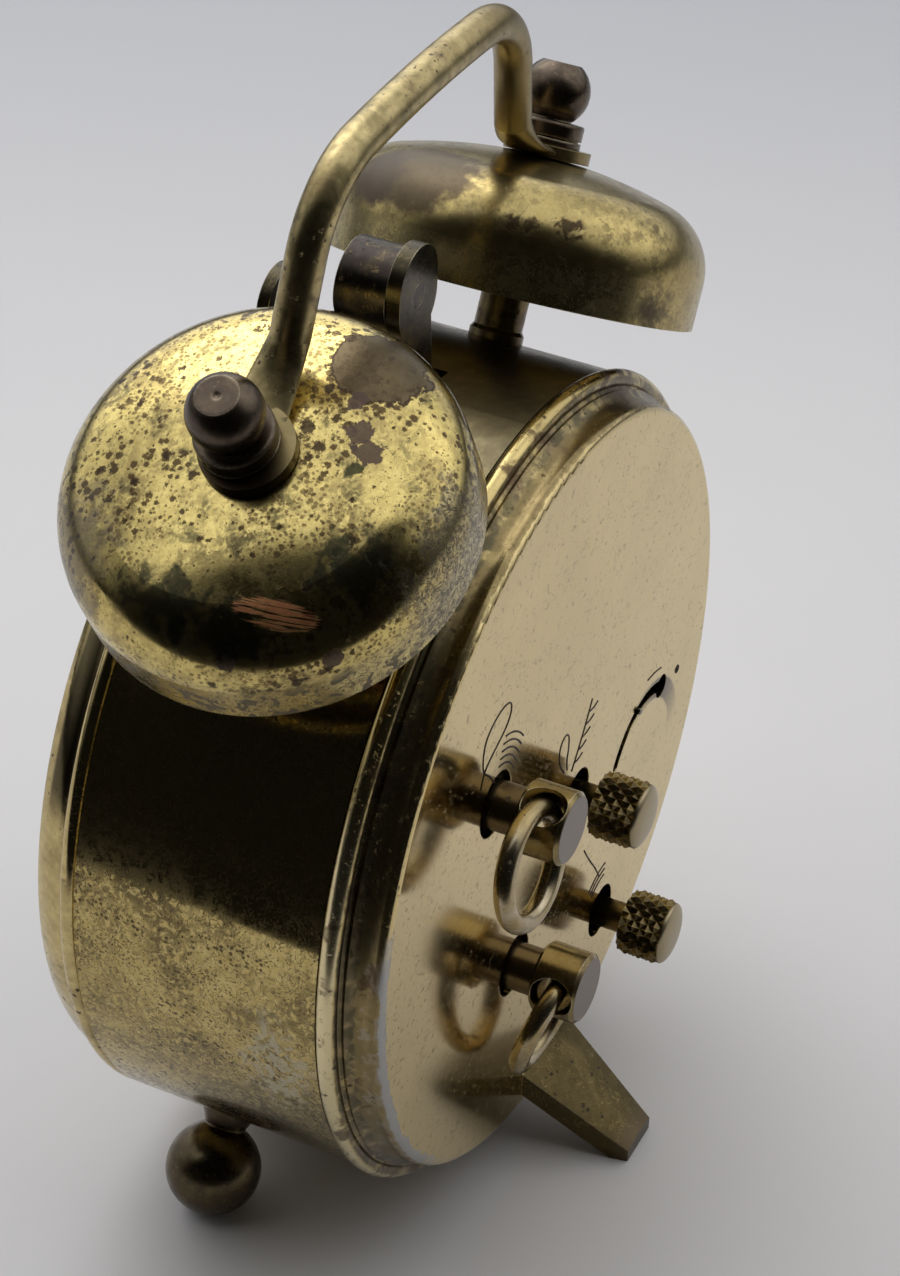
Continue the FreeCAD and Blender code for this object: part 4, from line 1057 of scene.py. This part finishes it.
def stain_skirt(finish, brass, seed, side, dirt):
    """Pale brass with brown curls and grey stains round the bell's lower edge."""
    sine, cosine = BELL_LEAN
    across, back, up = BELL_FOOT
    axis = (side * sine, 0.0, cosine)
    height = finish.mask("Along Axis", "Value", base=(side * across, back, up), axis=axis)
    skirt = finish.tree.span(height, SKIRT, SKIRT - 1.4)
    finish.lay(skirt, (0.66, 0.56, 0.27), 0.2, share=0.5)
    lines = finish.curls(scale=1.5, width=0.05, amount=0.8, seed=seed + 9.0)
    finish.lay(finish.both(skirt, lines), brass.brown, 0.42, 0.8, share=0.8)
    stain = finish.patches(scale=0.9, amount=0.42, soft=0.03, seed=seed + 70.0)
    finish.lay(finish.both(skirt, stain), (0.13, 0.11, 0.085), 0.42, 0.85, share=0.85 * dirt)


def near_bell_finish(brass):
    """The near bell: a big brown patch with a trail of blots, painted shade and copper scratches."""
    finish = bell_base("bell_brass", brass, 0.0, 1, brass.bright, (0.07, 0.14), 1.0)
    lay_veil(finish, brass)
    lay_blots(finish)
    shade_near_bell(finish)
    fresh = finish.mask("Streaks", centre=(26.7, 1.8, 58.7), along=(-0.41, 0.90, 0.13),
                        across=(-0.42, -0.06, 0.90), pitch=0.2, height=0.85)
    finish.lay(fresh, brass.copper, 0.45, 0.35, share=0.9)
    return finish.close()


def lay_veil(finish, brass):
    """The brown patch on the side of the hammer, lighter in places and dark at its border."""
    shape = {"centre": (12.2, 1.0, 66.8), "stretch": (0.92, 0.9, 1.0), "ragged": 0.75, "soft": 0.15}
    veil = finish.spot(reach=2.8, **shape)
    finish.lay(veil, (0.072, 0.052, 0.032), 0.28, 0.95, share=0.94)
    light = finish.patches(scale=0.9, amount=0.45, soft=0.1, seed=77.0)
    finish.lay(finish.both(veil, light), (0.14, 0.108, 0.062), 0.26, share=0.6)
    border = finish.without(veil, finish.spot(reach=2.6, **shape))
    finish.lay(border, brass.dark, 0.35, share=0.8)


def lay_blots(finish):
    """Brown blots that trail down from the patch, two more by the lip, and a green one."""
    blots = (
        ((15.2, 0.8, 66.0), (1.0, 1.6, 1.0), 0.9, 0.8),
        ((16.9, 1.9, 65.3), EVEN, 0.85, 0.8),
        ((17.6, 3.0, 64.8), EVEN, 0.85, 0.8),
        ((28.5, -0.4, 56.3), (1.0, 1.6, 0.8), 1.0, 0.4),
        ((25.8, 5.0, 56.2), (1.0, 1.2, 1.0), 0.75, 0.4),
    )
    finish.lay_spots(blots, (0.085, 0.058, 0.045), 0.34, 0.9, soft=0.1, share=0.93)
    green = finish.spot((18.9, 2.5, 64.1), reach=0.6, ragged=0.5, soft=0.2)
    finish.lay(green, (0.055, 0.055, 0.025), 0.34, 0.9, share=0.95)


def shade_near_bell(finish):
    """Mottled painted shade on the bell's side, a worn place at the back and grey in front."""
    close = finish.patches(scale=1.3, amount=0.85, soft=0.10, seed=90.0)
    # Painted shade: mottled dark patches on the bell's side.
    shades = (
        ((27.8, -4.6, 58.3), (1.0, 0.5, 0.8), 2.0, 1.6),
        ((28.2, -1.2, 57.8), (1.0, 0.6, 0.8), 1.9, 1.6),
        ((23.4, 5.0, 60.8), (0.8, 0.8, 0.9), 2.3, 1.6),
    )
    finish.lay_spots(shades, (0.06, 0.060, 0.034), 0.24, 0.97, soft=1.1, share=0.9, within=close)
    worn = finish.spot((17.0, 9.0, 59.0), (0.45, 1.0, 0.5), reach=3.2, ragged=1.4, soft=1.5)
    finish.lay(worn, (0.40, 0.34, 0.20), 0.24, share=0.6)
    lines = finish.curls(scale=1.3, width=0.075, amount=0.98, seed=35.0)
    finish.lay(finish.both(worn, lines), (0.085, 0.07, 0.055), 0.42, 0.8, share=0.92)
    grey = finish.spot((25.5, -12.0, 57.5), (0.6, 1.0, 0.8), reach=4.0, ragged=1.6, soft=2.5)
    finish.lay(finish.both(grey, close), (0.16, 0.135, 0.11), 0.3, 0.95, share=0.7)


def far_bell_finish(brass):
    """The far bell: softer and browner, with brown patches and dark rubbed marks."""
    base = (0.66, 0.53, 0.22)
    finish = bell_base("bell_brass_far", brass, 27.0, -1, base, (0.17, 0.28), 0.55)
    film = finish.patches(scale=0.12, amount=0.7, soft=0.2, seed=37.0)
    finish.lay(film, (0.36, 0.28, 0.12), 0.24, share=0.6)
    blots = (
        ((-9.9, -8.2, 66.8), (0.75, 0.55, 1.1), 3.2, 0.7),
        ((-9.9, -11.0, 65.8), (0.8, 0.8, 1.1), 2.6, 0.7),
        ((-12.0, 8.4, 59.6), (0.7, 1.0, 1.0), 1.8, 0.8),
    )
    finish.lay_spots(blots, (0.080, 0.054, 0.030), 0.4, 0.5, soft=1.1, share=0.88)
    close = finish.patches(scale=1.1, amount=0.6, soft=0.06, seed=58.0)
    long = (0.9, 0.55, 1.7)
    rubs = (((-8.1, 0.3, 66.1), long, 1.15, 1.0), ((-9.4, 2.9, 65.5), long, 1.15, 1.0))
    finish.lay_spots(rubs, brass.dark, 0.36, 0.9, soft=0.6, share=0.9, within=close)
    return finish.close()


class CLOCK_OT_fittings(bpy.types.Operator):
    """Posts, finials, nuts, handle, feet and rear leg"""

    bl_idname = "clock.fittings"
    bl_label = "Fittings"

    def execute(self, context):
        brass = context.scene.clock_brass
        post = wear("post_brass", brass.bronze, brass, (0.2, 0.32), skin=0.5, edge=0.3, seed=31.0)
        nut = wear("nut_steel", brass.silver, brass, (0.25, 0.4), skin=0.2, seed=2.0)
        ball = dark_finish("dark_brass", brass, (0.112, 0.085, 0.062), (0.18, 0.14, 0.095), 17.0)
        foot = dark_finish("foot_brass", brass, (0.10, 0.078, 0.045), (0.20, 0.155, 0.07), 53.0)
        dress(post.close(), "bell_post_right", "bell_post_left")
        dress(ball, "finial_right", "finial_left")
        dress(foot, "foot_right", "foot_left")
        dress(nut.close(), "stud_nuts")
        dress(handle_finish(brass), "carry_handle")
        dress(leg_finish(brass), "rear_leg")
        return {"FINISHED"}


def dark_finish(name, brass, base, worn, seed):
    """Turned brass gone dark, with lighter rubbed places and edges."""
    finish = Finish(name, base, 0.26)
    finish.vary(0.2, 0.34, 0.5)
    rubbed = finish.patches(scale=0.5, amount=0.4, soft=0.14, seed=seed)
    finish.lay(rubbed, worn, 0.26, share=0.5)
    stain = finish.patches(scale=0.9, amount=0.45, soft=0.1, seed=seed + 8.0)
    finish.lay(stain, (0.07, 0.052, 0.042), 0.36, 0.95, share=0.6)
    fleck = finish.specks(scale=3.4, size=0.5, rare=1.8, cluster=0.2, seed=seed)
    finish.lay(fleck, worn, 0.35, share=0.6)
    scratch = finish.scratches(scale=2.4, width=0.014, amount=0.35)
    finish.lay(scratch, worn, 0.32, share=0.5)
    finish.lay(finish.edges(0.14, 0.35), brass.worn, 0.26, share=0.5)
    finish.round_edges(0.3)
    finish.grain(2.0, 0.005)
    return finish.close()


def handle_finish(brass):
    """The bent rod: olive brass with small pits, browner near its feet, with painted shade on the far
    leg and round the finials at its feet.
    """
    finish = wear("handle_brass", (0.56, 0.45, 0.22), brass, (0.27, 0.38),
                  skin=0.36, specks=0.5, lines=0.35, edge=0.2, seed=5.0)
    pit = finish.specks(scale=3.6, size=0.40, rare=2.2, cluster=0.1, seed=6.0)
    finish.lay(pit, brass.brown, 0.4, 0.8, share=0.8)
    film = finish.patches(scale=0.5, amount=0.45, soft=0.08, seed=64.0)
    finish.lay(film, (0.20, 0.165, 0.075), 0.32, share=0.6)
    # Painted shade: the far leg of the handle is laid darker.
    finish.lay(finish.step("X", -3.0, -11.0), (0.25, 0.195, 0.095), 0.34, share=0.8)
    foot = finish.spot((20.8, -2.0, 65.2), reach=4.6, ragged=0.5, soft=1.4)
    finish.lay(foot, (0.19, 0.15, 0.07), 0.3, share=0.75)
    oval = (1.0, 0.8, 1.0)
    # Painted shade: dark rings round the feet of both finials on the handle.
    finial_shade = (((22.9, -3.2, 63.7), oval, 3.2, 0.5), ((-17.6, -3.2, 63.7), oval, 3.2, 0.5))
    finish.lay_spots(finial_shade, brass.dark, 0.35, 0.9, soft=1.6, share=0.92)
    return finish.close()


def leg_finish(brass):
    """The rear leg, nearly black, with pale edges and a bronze end."""
    base = (0.085, 0.064, 0.027)
    finish = wear("leg_brass", base, brass, (0.24, 0.34), skin=0.1, specks=0.2, seed=71.0)
    finish.lay(finish.step("Y", 14.6, 16.6), brass.bronze, 0.38, share=0.7)
    return finish.close()


class CLOCK_OT_keys(bpy.types.Operator):
    """Winding keys and their rings"""

    bl_idname = "clock.keys"
    bl_label = "Keys"

    def execute(self, context):
        brass = context.scene.clock_brass
        dress(key_finish(brass), "time_key", "alarm_key")
        dress(ring_finish(brass), "time_key_ring", "alarm_key_ring")
        return {"FINISHED"}


def key_finish(brass):
    """Brown brass heads with darker stems and end faces."""
    base = (0.31, 0.24, 0.11)
    finish = wear("key_brass", base, brass, (0.16, 0.26), skin=0.4, specks=0.15, lines=0.3, seed=91.0)
    finish.lay(finish.step("Y", 10.9, 10.4), brass.bronze, 0.3, share=0.75)
    finish.lay(finish.step("Y", 13.99, 14.015), (0.20, 0.17, 0.14), 0.34)
    return finish.close()


def ring_finish(brass):
    """Rings worn pale where they rub, brown elsewhere."""
    finish = wear("ring_brass", (0.43, 0.335, 0.17), brass, (0.18, 0.28),
                  specks=0.1, lines=0.5, edge=0.0, seed=101.0)
    pale = finish.patches(scale=0.3, amount=0.42, soft=0.12, seed=33.0)
    finish.lay(pale, (0.56, 0.49, 0.37), 0.24, share=0.6)
    return finish.close()


# The end, the tip and the tip's radius of each setting knob's arbor.
TIME_ARBOR = (-13.0, -14.9, 0.37)
ALARM_ARBOR = (-15.2, -15.9, 1.0)


class CLOCK_OT_knobs(bpy.types.Operator):
    """The diamond-knurled setting knobs"""

    bl_idname = "clock.knobs"
    bl_label = "Knobs"

    def execute(self, context):
        knobs = context.scene.clock_knobs
        brass = context.scene.clock_brass
        material = knob_finish("knob_brass", brass, knobs.time_back + knobs.length)
        mesh = knob_mesh("time_set_knob_dressed", knobs, knobs.time_back, TIME_KNOB, *TIME_ARBOR)
        piece = add_piece(mesh.name, mesh, "time_set", material)
        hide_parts("time_set_knob")
        material = knob_finish("alarm_knob_brass", brass, knobs.alarm_back + knobs.length)
        mesh = knob_mesh("alarm_set_knob_dressed", knobs, knobs.alarm_back, ALARM_KNOB, *ALARM_ARBOR)
        piece = add_piece(mesh.name, mesh, "alarm_set", material)
        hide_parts("alarm_set_knob")
        return {"FINISHED"}


def knob_finish(name, brass, front):
    """Dark in the knurl's grooves, worn on its points, pale on the domed end."""
    finish = wear(name, (0.145, 0.11, 0.055), brass, (0.24, 0.36),
                  skin=0.3, specks=0.1, lines=0.3, edge=0.0, seed=111.0)
    finish.lay(finish.edges(0.1, 0.25), brass.golden, 0.26, share=0.7)
    end = front + AXIS_Y
    finish.lay(finish.step("Y", end + 0.01, end + 0.05), (0.37, 0.305, 0.19), 0.32)
    return finish.close()


class CLOCK_OT_engraving(bpy.types.Operator):
    """Engraved lines on the back plate"""

    bl_idname = "clock.engraving"
    bl_label = "Engraving"

    def execute(self, context):
        marks = context.scene.clock_marks
        material = engraving_finish(context.scene.clock_brass)
        for name, lines in engraved_lines().items():
            add_lines("engraving_" + name, lines, marks, material)
        return {"FINISHED"}


def engraving_finish(brass):
    """Dirt held in the engraved lines."""
    finish = Finish("engraved_dirt", brass.dark, 0.6, 0.3)
    worn = finish.patches(scale=1.2, amount=0.4, soft=0.08, seed=4.0)
    finish.lay(worn, brass.brown, 0.45, 0.7)
    return finish.close()


def arc(x, z, radius, start, end, steps=8):
    """Points on an arc, in millimetres from the drum's axis."""
    points = []
    for i in range(steps + 1):
        turn = math.radians(start + (end - start) * i / steps)
        points.append((x + radius * math.cos(turn), z + radius * math.sin(turn)))
    return points


def winding_lines():
    """A loop above the time key, and five arcs round the key."""
    loop = [
        (10.9, 8.4), (11.4, 9.3), (12.6, 10.3), (12.75, 11.6), (12.4, 12.8), (11.2, 13.5), (9.8, 13.75),
        (8.75, 13.4), (8.65, 12.6), (9.3, 11.8), (10.7, 11.2), (12.1, 10.6), (12.7, 9.9), (12.9, 9.2),
    ]
    return [loop] + [arc(*TIME_KEY, 2.8 + 0.5 * i, 96 + 2 * i, 156 - 3 * i) for i in range(5)]


def setting_lines():
    """A small loop and a branch with five twigs above the time knob."""
    loop = [
        (-0.6, 1.0), (0.2, 2.1), (0.45, 3.2), (0.2, 4.0), (-0.5, 4.3),
        (-1.1, 3.9), (-1.15, 2.8), (-0.9, 1.6), (-1.1, 0.9),
    ]
    lines = [loop, [(-1.9, 0.2), (-2.9, 1.5), (-3.9, 2.9), (-4.8, 4.4)]]
    for i in range(5):
        x = -2.2 - 0.55 * i
        z = 0.7 + 0.72 * i
        lines.append([(x, z), (x - 0.75, z - 0.25), (x - 1.4, z - 0.05)])
    return lines


def alarm_lines():
    """A stroke between the two knobs, and three arcs round the alarm knob."""
    stroke = [(-5.2, -9.2), (-6.2, -10.8), (-7.6, -12.6), (-8.4, -14.0)]
    return [stroke] + [arc(*ALARM_KNOB, 3.2 + 0.5 * i, 55, 95) for i in range(3)]


def regulator_lines():
    """A dot and a short arc beside the regulator's slot."""
    dot = [arc(-20.8, -3.8, radius, 0, 360) for radius in (0.14, 0.3)]
    return dot + [arc(*BALANCE, 7.2, 92, 112, 3)]


def engraved_lines():
    """The marks by their places on the back, as lists of X and Z from the drum's axis."""
    return {
        "winding": winding_lines(),
        "setting": setting_lines(),
        "alarm": alarm_lines(),
        "regulator": regulator_lines(),
    }


def add_lines(name, lines, marks, material):
    """Thin rods half sunk in the plate, one for each line."""
    curve = bpy.data.curves.new(name, "CURVE")
    curve.dimensions = "3D"
    curve.bevel_depth = marks.line * MM
    curve.bevel_resolution = 2
    curve.resolution_u = 6
    for line in lines:
        spline = curve.splines.new("NURBS")
        spline.points.add(len(line) - 1)
        for point, (x, z) in zip(spline.points, line):
            point.co = (*metres(x, marks.plate - marks.sunk, z), 1.0)
        spline.order_u = min(3, len(line))
        spline.use_endpoint_u = True
    mesh = bpy.data.meshes.new_from_object(bpy.data.objects.new(name, curve))
    mesh.name = name
    mesh.materials.clear()
    add_piece(name, mesh, "case", material)


class CLOCK_OT_dial(bpy.types.Operator):
    """Dial sheet, its print and the hands"""

    bl_idname = "clock.dial"
    bl_label = "Dial"

    def execute(self, context):
        dial = context.scene.clock_dial
        dress(dial_finish(), "dial")
        dress(hand_finish(), "minute_hand", "hour_hand", "alarm_hand")
        ink = ink_finish()
        add_numerals(dial, ink)
        add_track(dial, ink)
        return {"FINISHED"}


def dial_finish():
    """Old enamel-white paint, yellowed and spotted."""
    finish = Finish("dial_white", (0.72, 0.69, 0.60), 0.4, 0.0)
    aged = finish.patches(scale=0.08, amount=0.5, soft=0.15, seed=3.0)
    finish.lay(aged, (0.60, 0.54, 0.41), 0.48)
    spot = finish.specks(scale=1.1, size=0.2, cluster=0.7, seed=8.0)
    finish.lay(spot, (0.30, 0.22, 0.13), 0.6)
    finish.grain(1.0, 0.003)
    return finish.close()


def hand_finish():
    """Blued steel, worn to grey at the edges."""
    finish = Finish("hand_steel", (0.05, 0.055, 0.075), 0.3)
    worn = finish.patches(scale=0.6, amount=0.35, soft=0.1, seed=12.0)
    finish.lay(worn, (0.12, 0.10, 0.09), 0.42)
    finish.lay(finish.edges(0.05, 0.5), (0.45, 0.45, 0.46), 0.3)
    finish.round_edges(0.05)
    return finish.close()


def ink_finish():
    """Black dial print, a little faded."""
    finish = Finish("dial_ink", (0.012, 0.011, 0.010), 0.5, 0.0)
    faded = finish.patches(scale=0.7, amount=0.35, soft=0.1, seed=19.0)
    finish.lay(faded, (0.05, 0.042, 0.034), 0.6)
    return finish.close()


def add_numerals(dial, ink):
    """The plain numbers one to twelve."""
    for hour in range(1, 13):
        text = bpy.data.curves.new("numeral", "FONT")
        text.body = str(hour)
        text.size = dial.numeral_height * MM
        text.align_x = "CENTER"
        text.align_y = "CENTER"
        text.extrude = dial.lift * MM / 2
        mesh = bpy.data.meshes.new_from_object(bpy.data.objects.new("numeral", text))
        turn = math.radians(30 * hour)
        x = dial.numeral_ring * math.sin(turn)
        z = dial.numeral_ring * math.cos(turn)
        middle = metres(x, dial.face - dial.lift / 2, z)
        for vertex in mesh.vertices:
            flat = vertex.co.copy()
            vertex.co = middle + Vector((flat.x, -flat.z, flat.y))
        mesh.materials.clear()
        add_piece("numeral_%02d" % hour, mesh, "case", ink)


def add_track(dial, ink):
    """Sixty minute marks between two rings, wider at the hours."""
    faces = ((0, 1, 2, 3), (4, 5, 6, 7), (0, 1, 5, 4), (1, 2, 6, 5), (2, 3, 7, 6), (3, 0, 4, 7))
    inner = dial.track - dial.track_width / 2
    outer = dial.track + dial.track_width / 2
    top = dial.face - dial.lift

    def add_mark(work, turn, width):
        across = Vector((math.cos(turn), 0.0, -math.sin(turn))) * width / 2 * MM
        out = Vector((math.sin(turn), 0.0, math.cos(turn)))
        corners = []
        for y in (dial.face, top):
            for radius, side in ((inner, -1), (inner, 1), (outer, 1), (outer, -1)):
                corners.append(work.verts.new(metres(0.0, y, 0.0) + out * radius * MM + across * side))
        for face in faces:
            work.faces.new([corners[i] for i in face])

    def build(work):
        for minute in range(60):
            width = dial.hour_mark if minute % 5 == 0 else dial.minute_mark
            add_mark(work, FULL * minute / 60, width)
        for radius in (inner, outer):
            edge = radius + dial.track_line
            profile = ((radius, dial.face), (radius, top), (edge, top), (edge, dial.face))
            spin(work, profile, (0.0, 0.0), 120)

    add_piece("minute_track", mesh_from("minute_track", build, False), "case", ink)


class CLOCK_OT_movement(bpy.types.Operator):
    """Hammer, alarm stop, plates, wheels, arbors and regulator"""

    bl_idname = "clock.movement"
    bl_label = "Movement"

    def execute(self, context):
        brass = context.scene.clock_brass
        arm = wear("hammer_brass", (0.064, 0.054, 0.034), brass, (0.24, 0.36),
                   skin=0.08, specks=0.5, edge=0.4, seed=41.0)
        head = wear("hammer_head_brass", (0.046, 0.038, 0.033), brass, (0.26, 0.38),
                    skin=0.08, edge=0.45, seed=43.0)
        plate = wear("plate_brass", brass.bright, brass, (0.2, 0.32),
                     skin=0.2, specks=0.1, edge=0.3, seed=47.0)
        wheel = wear("wheel_brass", brass.bright, brass, (0.16, 0.26),
                     skin=0.15, specks=0.1, edge=0.4, seed=49.0)
        steel = wear("steel", (0.07, 0.068, 0.066), brass, (0.2, 0.34),
                     skin=0.15, specks=0.1, edge=0.4, seed=57.0)
        dress(arm.close(), "hammer_arm", "alarm_stop")
        dress(head.close(), "hammer_head")
        dress(plate.close(), "front_plate", "rear_plate", "plate_pillars")
        dress(wheel.close(), "minute_wheel", "cannon_pinion", "hour_wheel", "alarm_idler", "alarm_wheel")
        dress(steel.close(), "hammer_arbor", "regulator", "centre_arbor")
        return {"FINISHED"}


OPERATORS = (
    CLOCK_OT_stage,
    CLOCK_OT_case,
    CLOCK_OT_bells,
    CLOCK_OT_fittings,
    CLOCK_OT_keys,
    CLOCK_OT_knobs,
    CLOCK_OT_engraving,
    CLOCK_OT_dial,
    CLOCK_OT_movement,
)


class CLOCK_PT_panel(bpy.types.Panel):
    """Settings and steps of the clock"""

    bl_idname = "CLOCK_PT_panel"
    bl_label = "Twin-bell clock"
    bl_space_type = "VIEW_3D"
    bl_region_type = "UI"
    bl_category = "Clock"

    def draw(self, context):
        for name, group in SETTINGS:
            box = self.layout.box()
            settings = getattr(context.scene, name)
            for key in group.__annotations__:
                box.prop(settings, key)
        for operator in OPERATORS:
            self.layout.operator(operator.bl_idname)


def register():
    for name, group in SETTINGS:
        bpy.utils.register_class(group)
        setattr(bpy.types.Scene, name, bpy.props.PointerProperty(type=group))
    for operator in OPERATORS:
        bpy.utils.register_class(operator)
    bpy.utils.register_class(CLOCK_PT_panel)


def unregister():
    bpy.utils.unregister_class(CLOCK_PT_panel)
    for operator in reversed(OPERATORS):
        bpy.utils.unregister_class(operator)
    for name, group in reversed(SETTINGS):
        delattr(bpy.types.Scene, name)
        bpy.utils.unregister_class(group)


def main():
    register()
    shared_groups()
    bpy.ops.clock.stage()
    bpy.ops.clock.case()
    bpy.ops.clock.bells()
    bpy.ops.clock.fittings()
    bpy.ops.clock.keys()
    bpy.ops.clock.knobs()
    bpy.ops.clock.engraving()
    bpy.ops.clock.dial()
    bpy.ops.clock.movement()


if __name__ == "__main__":
    main()
